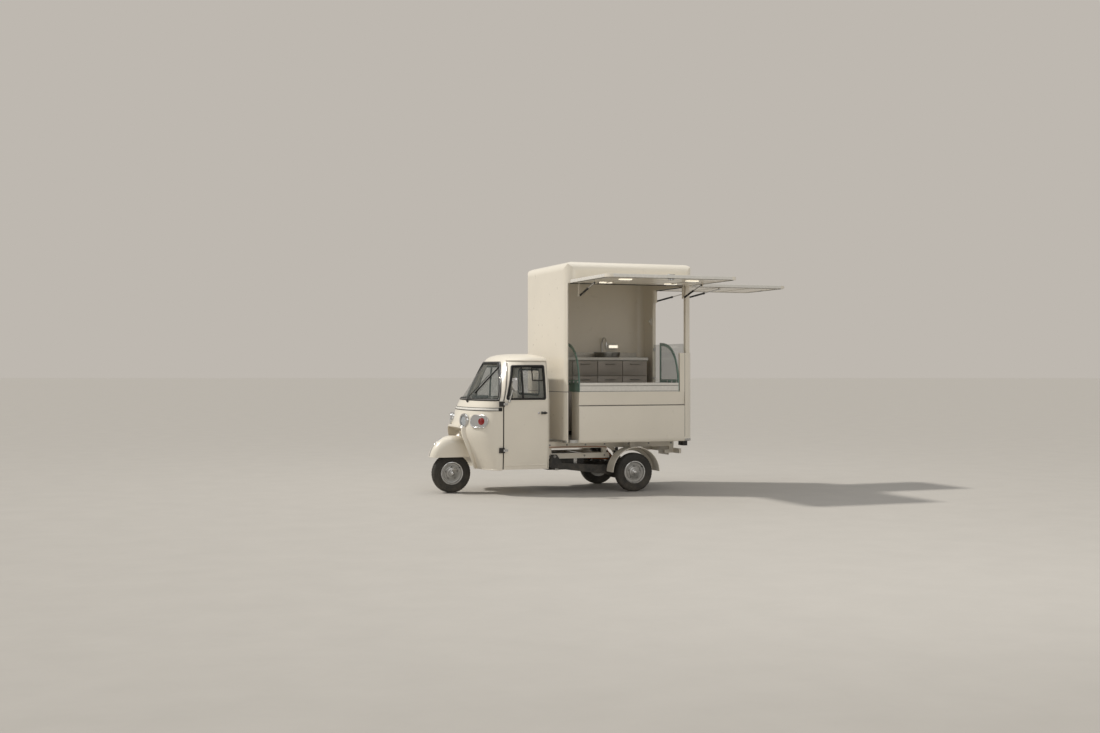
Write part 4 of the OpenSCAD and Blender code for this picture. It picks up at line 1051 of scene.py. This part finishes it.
def wall_run(z, parts, lift=0.0, n=10):
    """Path round the body's outside at height z through named stretches."""
    front_c = BOX_FRONT + CORNER_R
    rear_c = BOX_REAR - CORNER_R
    side_c = BOX_HALF - CORNER_R
    out = []

    def turn(cx, cy, a0, a1):
        for i in range(n + 1):
            a = a0 + (a1 - a0) * i / n
            normal = Vector((cos(a), sin(a), 0))
            out.append((Vector((cx, cy, z)) + normal * (CORNER_R + lift), normal))

    for part in parts:
        if part == "front_left":
            turn(front_c, -side_c, pi + LEFT_CUT, pi)
        if part == "front_right":
            turn(front_c, side_c, pi, pi / 2)
        if part == "rear_right":
            turn(rear_c, side_c, pi / 2, 0)
            out.append((Vector((BOX_REAR + lift, BACK_Y1, z)), Vector((1, 0, 0))))
        if part == "rear_low":
            turn(rear_c, side_c, pi / 2, 0)
            turn(rear_c, -side_c, 0, -pi / 2)
    return out


SEAM = [(-3, -1), (-3, 0.8), (3, 0.8), (3, -1)]
seams = Batch()
seams.sweep(wall_run(SILL_Z - 3, ("front_left", "front_right")), SEAM)
for x in (BOX_FRONT + CORNER_R + 15, BOX_REAR - CORNER_R):
    seams.block((x - 2, BOX_HALF - 1, BOX_BOTTOM + 4), (x + 2, BOX_HALF + 0.8, ROOF_Z - 4), 0.4)
seams.block((BOX_REAR - CORNER_R - 2, -BOX_HALF - 0.8, BOX_BOTTOM + 50),
    (BOX_REAR - CORNER_R + 2, -BOX_HALF + 1, POST_Z), 0.4)
seams.done("body_seams", "seam")
skirt = [(-14, -1), (-14, 3), (-11, 5), (11, 5), (14, 3), (14, -1)]
Batch().sweep(wall_run(BOX_BOTTOM + 16, ("front_left", "front_right", "rear_low")), skirt).done(
    "body_skirt", "alloy")
rivets = Batch()
for i in range(10):
    y = -560 + 1120 * i / 9
    rivets.rivet(aim((BOX_FRONT - 5, y, BOX_BOTTOM + 16), (-1, 0, 0)))
    rivets.rivet(aim((BOX_REAR + 5, y, BOX_BOTTOM + 16), (1, 0, 0)))
for i in range(12):
    rivets.rivet(aim((BOX_FRONT + 150 + 1340 * i / 11, BOX_HALF + 5, BOX_BOTTOM + 16), (0, 1, 0)))
rivets.done("skirt_rivets", "steel")

# Edging on the cut edges of the serving opening and the rear opening
edging = Batch()
cut_y = -(BOX_HALF - CORNER_R) - CORNER_R * sin(LEFT_CUT)
for z0, z1 in ((BOX_BOTTOM + 6, SILL_Z - 8), (SILL_Z + 2, ROOF_Z - 3)):
    edging.block((OPEN_X0 - 8, cut_y - 4, z0), (OPEN_X0 + 7, cut_y + 34, z1), 3)
for y, side in ((BACK_Y0, -1), (BACK_Y1, 1)):
    top = ROOF_Z - 3 if side > 0 else POST_Z
    edging.block((BOX_REAR - WALL - 3, y - 2 + side, SILL_Z + 2), (BOX_REAR + 1, y + 2 + side, top), 1)
edging.block((BOX_REAR - WALL - 3, BACK_Y0 + 4, SILL_Z - 3), (BOX_REAR + 1, BACK_Y1 - 4, SILL_Z + 3), 1)
edging.done("opening_edging", "paint")
seal = Batch()
seal.tube([(OPEN_X0 + 20, -BOX_HALF + 6, ROOF_Z - 5), (BOX_REAR - CORNER_R, -BOX_HALF + 6, ROOF_Z - 5)],
          5, 10)
seal.tube([(BOX_REAR - 6, BACK_Y0 + 12, ROOF_Z - 5), (BOX_REAR - 6, BACK_Y1 - 12, ROOF_Z - 5)], 5, 10)
seal.done("opening_seals", "rubber")

# Counter: nosing, two dark lines along its face, brackets, and clamps on the guard frames
bar = Batch()
c0, c1 = counter_lo.x, counter_hi.x
bar.block((c0 + 1, counter_lo.y - 5, counter_hi.z - 28), (c1 - 1, counter_lo.y + 3, counter_hi.z + 2), 3)
bar.block((c0 + 1, counter_hi.y - 3, counter_hi.z - 28), (c1 - 1, counter_hi.y + 4, counter_hi.z + 2), 3)
bar.done("counter_nosing", "white_top")
line = Batch()
for z in (counter_hi.z - 32, SILL_Z + 3):
    line.block((c0 + 2, counter_lo.y - 2, z - 2), (c1 - 2, counter_lo.y + 2, z + 2), 0.8)
line.done("counter_lines", "seam")
legs = Batch()
for x in (c0 + 120, (c0 + c1) / 2, c1 - 120):
    legs.block((x - 12, counter_lo.y + 24, counter_hi.z - 120),
               (x + 12, counter_lo.y + 32, counter_hi.z - 32), 2)
    legs.block((x - 12, counter_lo.y + 30, counter_hi.z - 40),
               (x + 12, counter_hi.y - 30, counter_hi.z - 32), 2)
    legs.tube([(x, counter_lo.y + 34, counter_hi.z - 108), (x, counter_hi.y - 90, counter_hi.z - 40)], 6, 10)
legs.done("counter_brackets", "alloy")
clamps = Batch()
for x, side in ((span("guard_frames")[0].x, 1), (span("guard_frames")[1].x, -1)):
    for y in (-690, -560, -430):
        clamps.block((x - 5 if side > 0 else x - 13, y - 14, counter_hi.z + 2),
            (x + 13 if side > 0 else x + 5, y + 14, counter_hi.z + 26), 3)
        clamps.lathe([(6, 0), (6, 3), (4, 4.5), (0.01, 4.5)],
            aim((x - 5 if side > 0 else x + 5, y, counter_hi.z + 14), (-side, 0, 0)), 16)
clamps.done("guard_clamps", "alloy")

# Rear glass: channel along its foot and polished corners
channel = Batch()
gx = (span("rear_glass")[0].x + span("rear_glass")[1].x) / 2
for off in (-9, 5):
    channel.block((gx + off, BACK_Y0 + 6, SILL_Z + 1), (gx + off + 4, BACK_Y1 - 6, SILL_Z + 26), 1.2)
for y in (BACK_Y0 + 8, BACK_Y1 - 8):
    for z in (SILL_Z + 150, span("rear_glass")[1].z - 60):
        channel.block((gx - 12, y - 12, z - 18), (gx + 12, y + 12, z + 18), 3)
channel.done("rear_glass_channel", "alloy")

# Cabinet: drawer and door fronts with bar pulls, plinth, worktop edge and splashback
fronts, pulls = Batch(), Batch()
bays = 4
fy = cabinet_lo.y + 25
bay = (cabinet_hi.x - cabinet_lo.x - 16) / bays
for i in range(bays):
    x0, x1 = cabinet_lo.x + 8 + bay * i + 4, cabinet_lo.x + 8 + bay * (i + 1) - 4
    for z0, z1 in ((700, 1190), (1198, 1385), (1393, 1580)):
        fronts.block((x0, fy - 16, z0), (x1, fy, z1), 4)
        zc = z1 - 40
        pulls.tube([((x0 + x1) / 2 - 60, fy - 16, zc), ((x0 + x1) / 2 - 60, fy - 38, zc),
            ((x0 + x1) / 2 - 52, fy - 42, zc), ((x0 + x1) / 2 + 52, fy - 42, zc),
                    ((x0 + x1) / 2 + 60, fy - 38, zc), ((x0 + x1) / 2 + 60, fy - 16, zc)], 5, 10)
fronts.done("cabinet_fronts", "cabinet")
pulls.done("cabinet_pulls", "steel")
top = Batch()
top.block((cabinet_lo.x - 2, cabinet_lo.y - 6, cabinet_hi.z - 34),
    (cabinet_hi.x + 2, cabinet_lo.y + 4, cabinet_hi.z + 3), 4)
top.block((cabinet_lo.x + 4, INNER_Y - 14, cabinet_hi.z),
    (cabinet_hi.x - 4, INNER_Y - 2, cabinet_hi.z + 70), 4)
top.done("worktop_edge", "white_top")
Batch().block((cabinet_lo.x + 6, fy - 4, 645), (cabinet_hi.x - 6, fy + 4, 694), 2).done(
    "cabinet_plinth", "black")
# Basin with a swan-neck tap, sockets and a wall lamp
bx, by = 2230.0, INNER_Y - 190
basin = Batch()
basin.lathe([(150, 3), (158, 3), (166, 40), (172, 66), (172, 72), (166, 74), (160, 70), (152, 44), (138, 18),
    (60, 12), (30, 11), (0.01, 11)],
            aim((bx, by, cabinet_hi.z - 2), (0, 0, 1)), 56)
basin.done("basin", "steel")
tap = Batch()
tx, ty = bx, INNER_Y - 22
tap.lathe([(26, 0), (26, 6), (18, 12), (15, 30), (15, 60), (12, 66), (0.01, 66)],
    aim((tx, ty, cabinet_hi.z), (0, 0, 1)), 28)
tap.tube([(tx, ty, cabinet_hi.z + 50)] + [(tx, ty - 70 + 70 * cos(q),
    cabinet_hi.z + 190 + 70 * sin(q)) for q in (pi * i / 14 for i in range(15))]
         + [(tx, ty - 140, cabinet_hi.z + 150)], 10, 14)
tap.tube([(tx + 14, ty, cabinet_hi.z + 52), (tx + 40, ty, cabinet_hi.z + 60),
          (tx + 66, ty, cabinet_hi.z + 74)], [6, 5, 6], 10)
tap.done("tap", "chrome")
sockets, pins = Batch(), Batch()
for x in (2330.0, 2410.0, 1700.0):
    sockets.block((x - 40, INNER_Y - 12, 1730), (x + 40, INNER_Y - 1, 1810), 5)
    for dx in (-9.5, 9.5):
        sockets.lathe([(19, 0), (19, 1.5), (16, 1.5), (16, 0.2)],
                      aim((x, INNER_Y - 12, SOCKET_Z), (0, -1, 0)), 28)
        pins.lathe([(3, 0), (3, 2.4), (0.01, 2.4)], aim((x + dx, INNER_Y - 11.6, SOCKET_Z), (0, -1, 0)), 10)
sockets.done("sockets", "white_top")
pins.done("socket_holes", "black")
Batch().block((2331, INNER_Y - 16, 1751), (2455, INNER_Y - 1, 1787), 6).done("wall_lamps", "lamp")
latch = Batch()
latch.block((BOX_REAR - WALL - 22, BACK_Y1 + 20, 2050), (BOX_REAR - WALL, BACK_Y1 + 60, 2130), 4)
latch.tube([(BOX_REAR - WALL - 20, BACK_Y1 + 40, 2080), (BOX_REAR - WALL - 46, BACK_Y1 + 30, 2096),
    (BOX_REAR - WALL - 50, BACK_Y1 - 6, 2100)], 7, 12)
latch.done("rear_latch", "white_top")

# Floor ribs inside, and an inner joint strip
tread = Batch()
for y in range(-440, 340, 33):
    tread.block((1400, y - 5, 640), (2700, y + 5, 643), 1.4)
tread.done("floor_ribs", "alloy")
Batch().block((1684, INNER_Y - 3, cabinet_hi.z + 74), (1716, INNER_Y, ROOF_Z), 1.2).done(
    "inner_joint_strips", "inner_paint")
# Dark line under the fold of the side panel: painted shade, standing in for the shadow line under the ledge
panel_lo, panel_hi = span("side_panel")
Batch().tube([(panel_lo.x + 1, 15 - BOX_HALF, SILL_Z - 166), (panel_hi.x - 1, 15 - BOX_HALF, SILL_Z - 166)],
             4.5, 8).done(
    "panel_fold_painted_shade", "seam")


# ---------------------------------------------------------------- hatches and struts
def hatch_outline(x0, x1, y_root, y_free, r, inset):
    """Open plan outline of a hatch's three free sides as (along, out) points, in from its edge by inset."""
    a, b, e = x0 + inset, x1 - inset, y_free - inset
    r = max(8.0, r - inset)
    pts = [(a, y_root)] + [(a + r - r * cos(q), e - r + r * sin(q))
                           for q in (pi / 2 * i / 8 for i in range(9))]
    pts += [(b - r + r * sin(q), e - r + r * cos(q))
            for q in (pi / 2 * i / 8 for i in range(9))] + [(b, y_root)]
    return pts


def hatch(body, place, width, reach, knob, lock_at=70):
    """Dresses a raised hatch; place(u, v, w) maps along, out and up to the frame."""
    turn = place(0, 0, 1) - place(0, 0, 0)
    edge = hatch_outline(0, width, 24, reach, 100, 0)
    half = HATCH_T / 2
    rim = []
    for i, (u, v) in enumerate(edge):
        a, b = edge[max(0, i - 1)], edge[min(len(edge) - 1, i + 1)]
        t = Vector((b[0] - a[0], b[1] - a[1])).normalized()
        n = Vector((-t.y, t.x))
        if n.dot(Vector((u - width / 2, v - reach * 0.45))) < 0:
            n = -n
        rim.append((place(u, v, half), place(u + n.x, v + n.y, half) - place(u, v, half)))
    Batch().sweep(rim, [(-half - 1.5, -12), (-half - 1.5, 1), (1 - half, 3), (half - 1, 3), (half + 1.5, 1),
        (half + 1.5, -12), (half, -12), (half, -0.6), (-half, -0.6), (-half, -12)]).done(
        body + "_edge_trim", "white_top", body)
    seal_path = [(place(u, v, 0), -turn) for u, v in hatch_outline(0, width, 30, reach, 100, 30)]
    Batch().sweep(seal_path, oval(9, 4, 8)).done(body + "_seal", "seam", body)
    ribs = Batch()
    rib_path = [(place(u, v, 0), -turn) for u, v in hatch_outline(0, width, 60, reach, 100, 74)]
    ribs.sweep(rib_path, [(-17, 0), (-15, 3), (15, 3), (17, 0)])
    for share in (0.34, 0.66):
        ribs.sweep([(place(90, reach * share, 0), -turn), (place(width - 90, reach * share, 0), -turn)],
                   [(-14, 0), (-12, 3), (12, 3), (14, 0)])
    ribs.done(body + "_inner_frame", "inner_paint", body)
    lock = Batch()
    at = place(width / 2, reach - lock_at, 0)
    side = place(1, 0, 0) - place(0, 0, 0)
    m = aim(at, -turn, side)
    lock.block((-45, -22, 0), (45, 22, 3), 1.4, m)
    if knob:
        lock.block((-34, -8, 3), (34, 8, 16), 4, m)
        lock.lathe([(10, 2), (10, 18), (7, 21), (0.01, 21)], m, 24)
    top_m = aim(place(width / 2, reach - lock_at, HATCH_T), turn, side)
    lock.block((-60, -26, 0), (60, 26, 5), 4, top_m)
    lock.block((-44, -7, 5), (44, 7, 14), 4, top_m)
    lock.done(body + "_latch", "chrome", body)
    knuckles = Batch()
    for u in (187.0, width / 2, width - 187.0):
        for dv in (36, 62):
            knuckles.nut(aim(place(u - 22, dv, HATCH_T), turn), 10, 5, 1)
            knuckles.nut(aim(place(u + 22, dv, HATCH_T), turn), 10, 5, 1)
    knuckles.done(body + "_hinge_bolts", "steel", body)


HINGE_OUT = 15
HINGE_Y = -(BOX_HALF + HINGE_OUT)
HINGE_X = BOX_REAR + HINGE_OUT
left_w, left_reach = left_hi.x - left_lo.x, HINGE_Y - left_lo.y
rear_w, rear_reach = rear_hi.y - rear_lo.y, rear_hi.x - HINGE_X
hatch("left_hatch", lambda u, v, w: Vector((left_lo.x + u, HINGE_Y - v, HATCH_Z + w)),
      left_w, left_reach, True)
hatch("rear_hatch", lambda u, v, w: Vector((HINGE_X + v, rear_lo.y + u, HATCH_Z + w)),
      rear_w, rear_reach, False)
# Lamps under the left hatch: bright frames and a cable clip line
lamp_lo, lamp_hi = span("left_hatch_lamps")
bezels, wires = Batch(), Batch()
for x in (lamp_lo.x + 70, lamp_hi.x - 70):
    for y in (lamp_lo.y + 30, lamp_hi.y - 30):
        loop = round_outline([(x - 72, y - 32), (x + 72, y - 32), (x + 72, y + 32), (x - 72, y + 32)], 8, 4)
        bezels.sweep([(Vector((u, v, lamp_lo.z + 2)), Vector((0, 0, -1))) for u, v in loop],
                     oval(9, 5, 8), True)
    wires.tube([(x, lamp_lo.y + 62, HATCH_Z - 4), (x, lamp_hi.y - 62, HATCH_Z - 4)], 4, 8)
    wires.tube([(x, lamp_hi.y, HATCH_Z - 4), (x, HINGE_Y - 60, HATCH_Z - 4)], 4, 8)
bezels.done("lamp_frames", "alloy", "left_hatch")
wires.done("lamp_wires", "white_top", "left_hatch")

# Strut ends: collars and end caps on the tubes, eyes with nuts on the rods
STRUT_RUN, STRUT_RISE, STRUT_FOOT, STRUT_IN = 450, 120, 150, 30
HINGE_UP = 8
STRUT_TILT = atan2(STRUT_RUN, STRUT_RISE)
STRUT_L = hypot(STRUT_RUN, STRUT_RISE)
LEFT_STRUTS = [Vector((x, HINGE_Y + STRUT_IN, HATCH_Z + HINGE_UP - STRUT_FOOT)) for x in (BOX_FRONT + 177,
    BOX_REAR - 118)]
REAR_STRUTS = [Vector((HINGE_X - STRUT_IN, y, HATCH_Z + HINGE_UP - STRUT_FOOT))
               for y in (BACK_Y0 + 25, BACK_Y1 - 25)]
for tag, feet, way, pin in (("left", LEFT_STRUTS, Vector((0, -sin(STRUT_TILT), cos(STRUT_TILT))),
                             Vector((1, 0, 0))),
                             ("rear", REAR_STRUTS, Vector((sin(STRUT_TILT), 0, cos(STRUT_TILT))),
                              Vector((0, 1, 0)))):
    collars, eyes, pins = Batch(), Batch(), Batch()
    for foot in feet:
        m = aim(foot, way)
        collars.lathe([(11.2, 16), (12.6, 18), (12.6, 26), (11.2, 28)], m, 28)
        collars.lathe([(11.2, 233), (13.5, 235), (13.5, 249), (11, 254), (7.2, 256.5)], m, 28)
        collars.lathe([(11.3, 120), (11.7, 121), (11.7, 178), (11.3, 179)], m, 28)
        eyes.lathe([(9.5, -5.4), (10.8, -4.6), (10.8, 4.6), (9.5, 5.4)], aim(foot + way * STRUT_L, pin), 24)
        pins.nut(aim(foot + pin * 10, pin), 12, 6, 1.4)
    collars.done(tag + "_strut_collars", "black", tag + "_tubes")
    eyes.done(tag + "_strut_eyes", "black", tag + "_rods")
    pins.done(tag + "_strut_nuts", "steel")
    studs = Batch()
    for foot in feet:
        eye = foot + way * STRUT_L
        studs.lathe([(4.2, -12), (4.2, 3), (0.01, 3)], aim(eye + pin * 10, pin), 16)
        studs.nut(aim(eye + pin * 16, pin), 11, 5, 1)
    studs.done(tag + "_hatch_studs", "steel", tag + "_hatch")

# ---------------------------------------------------------------- camera, floor and light
PHOTO_EYE_M = Vector((-4.3146, -15.2842, 1.4855))
PHOTO_YAW, PHOTO_PITCH = radians(20.04), radians(0.08)
lens = bpy.data.cameras.new("camera")
lens.sensor_width = 36.0
lens.lens = 1324.7 / 1100 * 36.0
lens.clip_end = 200.0
camera = bpy.data.objects.new("camera", lens)
camera.location = PHOTO_EYE_M
camera.rotation_euler = (pi / 2 + PHOTO_PITCH, 0, -PHOTO_YAW)
scene.collection.objects.link(camera)
scene.camera = camera
scene.render.resolution_x, scene.render.resolution_y = 1100, 733
scene.view_settings.view_transform = "Standard"

finish("floor", (183, 178, 170), 0.9, spread=0.02, bump=0.02, specular=0.15)
floor_mesh = bpy.data.meshes.new("floor")
floor_mesh.from_pydata([(x, y, 0) for x, y in ((-400, -400), (400, -400), (400, 400), (-400, 400))], [],
    [(0, 1, 2, 3)])
floor_mesh.materials.append(MATS["floor"])
floor = bpy.data.objects.new("floor", floor_mesh)
scene.collection.objects.link(floor)


def lamp_towards(name, kind, at, to, power, rgb):
    lamp = bpy.data.lights.new(name, kind)
    lamp.energy = power
    lamp.color = rgb
    obj = bpy.data.objects.new(name, lamp)
    obj.location = at
    obj.rotation_euler = (Vector(to) - Vector(at)).to_track_quat("-Z", "Y").to_euler()
    scene.collection.objects.link(obj)
    return lamp


# Soft key from ahead and the vehicle's right, as the shadow on the floor lies; broad fills at a low level
MIDDLE_M = Vector((1.5, 0, 1.2))
lamp_towards("key", "SUN", MIDDLE_M + Vector((-0.586, 0.311, 0.748)) * 10, MIDDLE_M, 2.35,
    (1.0, 0.975, 0.93)).angle = radians(4)
for name, at, size, power in (("side", (1.0, -9.0, 5.0), 5.0, 95), ("top", (1.5, 0.0, 8.0), 6.0, 110)):
    lamp_towards(name, "AREA", at, MIDDLE_M, power, (0.97, 0.985, 1.0)).size = size
world = bpy.data.worlds.new("studio")
scene.world = world
world.use_nodes = True
wt = world.node_tree
sky = wt.nodes["Background"]
sky.inputs["Color"].default_value = (0.98, 0.985, 1.0, 1)
sky.inputs["Strength"].default_value = 0.46
plain = wt.nodes.new("ShaderNodeBackground")
plain.inputs["Color"].default_value = (*lin(190, 184, 176), 1)
rays = wt.nodes.new("ShaderNodeLightPath")
seen = rays.outputs["Is Camera Ray"]
for key in ("Is Glossy Ray", "Is Transmission Ray"):
    either = wt.nodes.new("ShaderNodeMath")
    either.operation = "MAXIMUM"
    wt.links.new(seen, either.inputs[0])
    wt.links.new(rays.outputs[key], either.inputs[1])
    seen = either.outputs["Value"]
pick = wt.nodes.new("ShaderNodeMixShader")
wt.links.new(seen, pick.inputs["Fac"])
wt.links.new(sky.outputs["Background"], pick.inputs[1])
wt.links.new(plain.outputs["Background"], pick.inputs[2])
wt.links.new(pick.outputs["Shader"], wt.nodes["World Output"].inputs["Surface"])
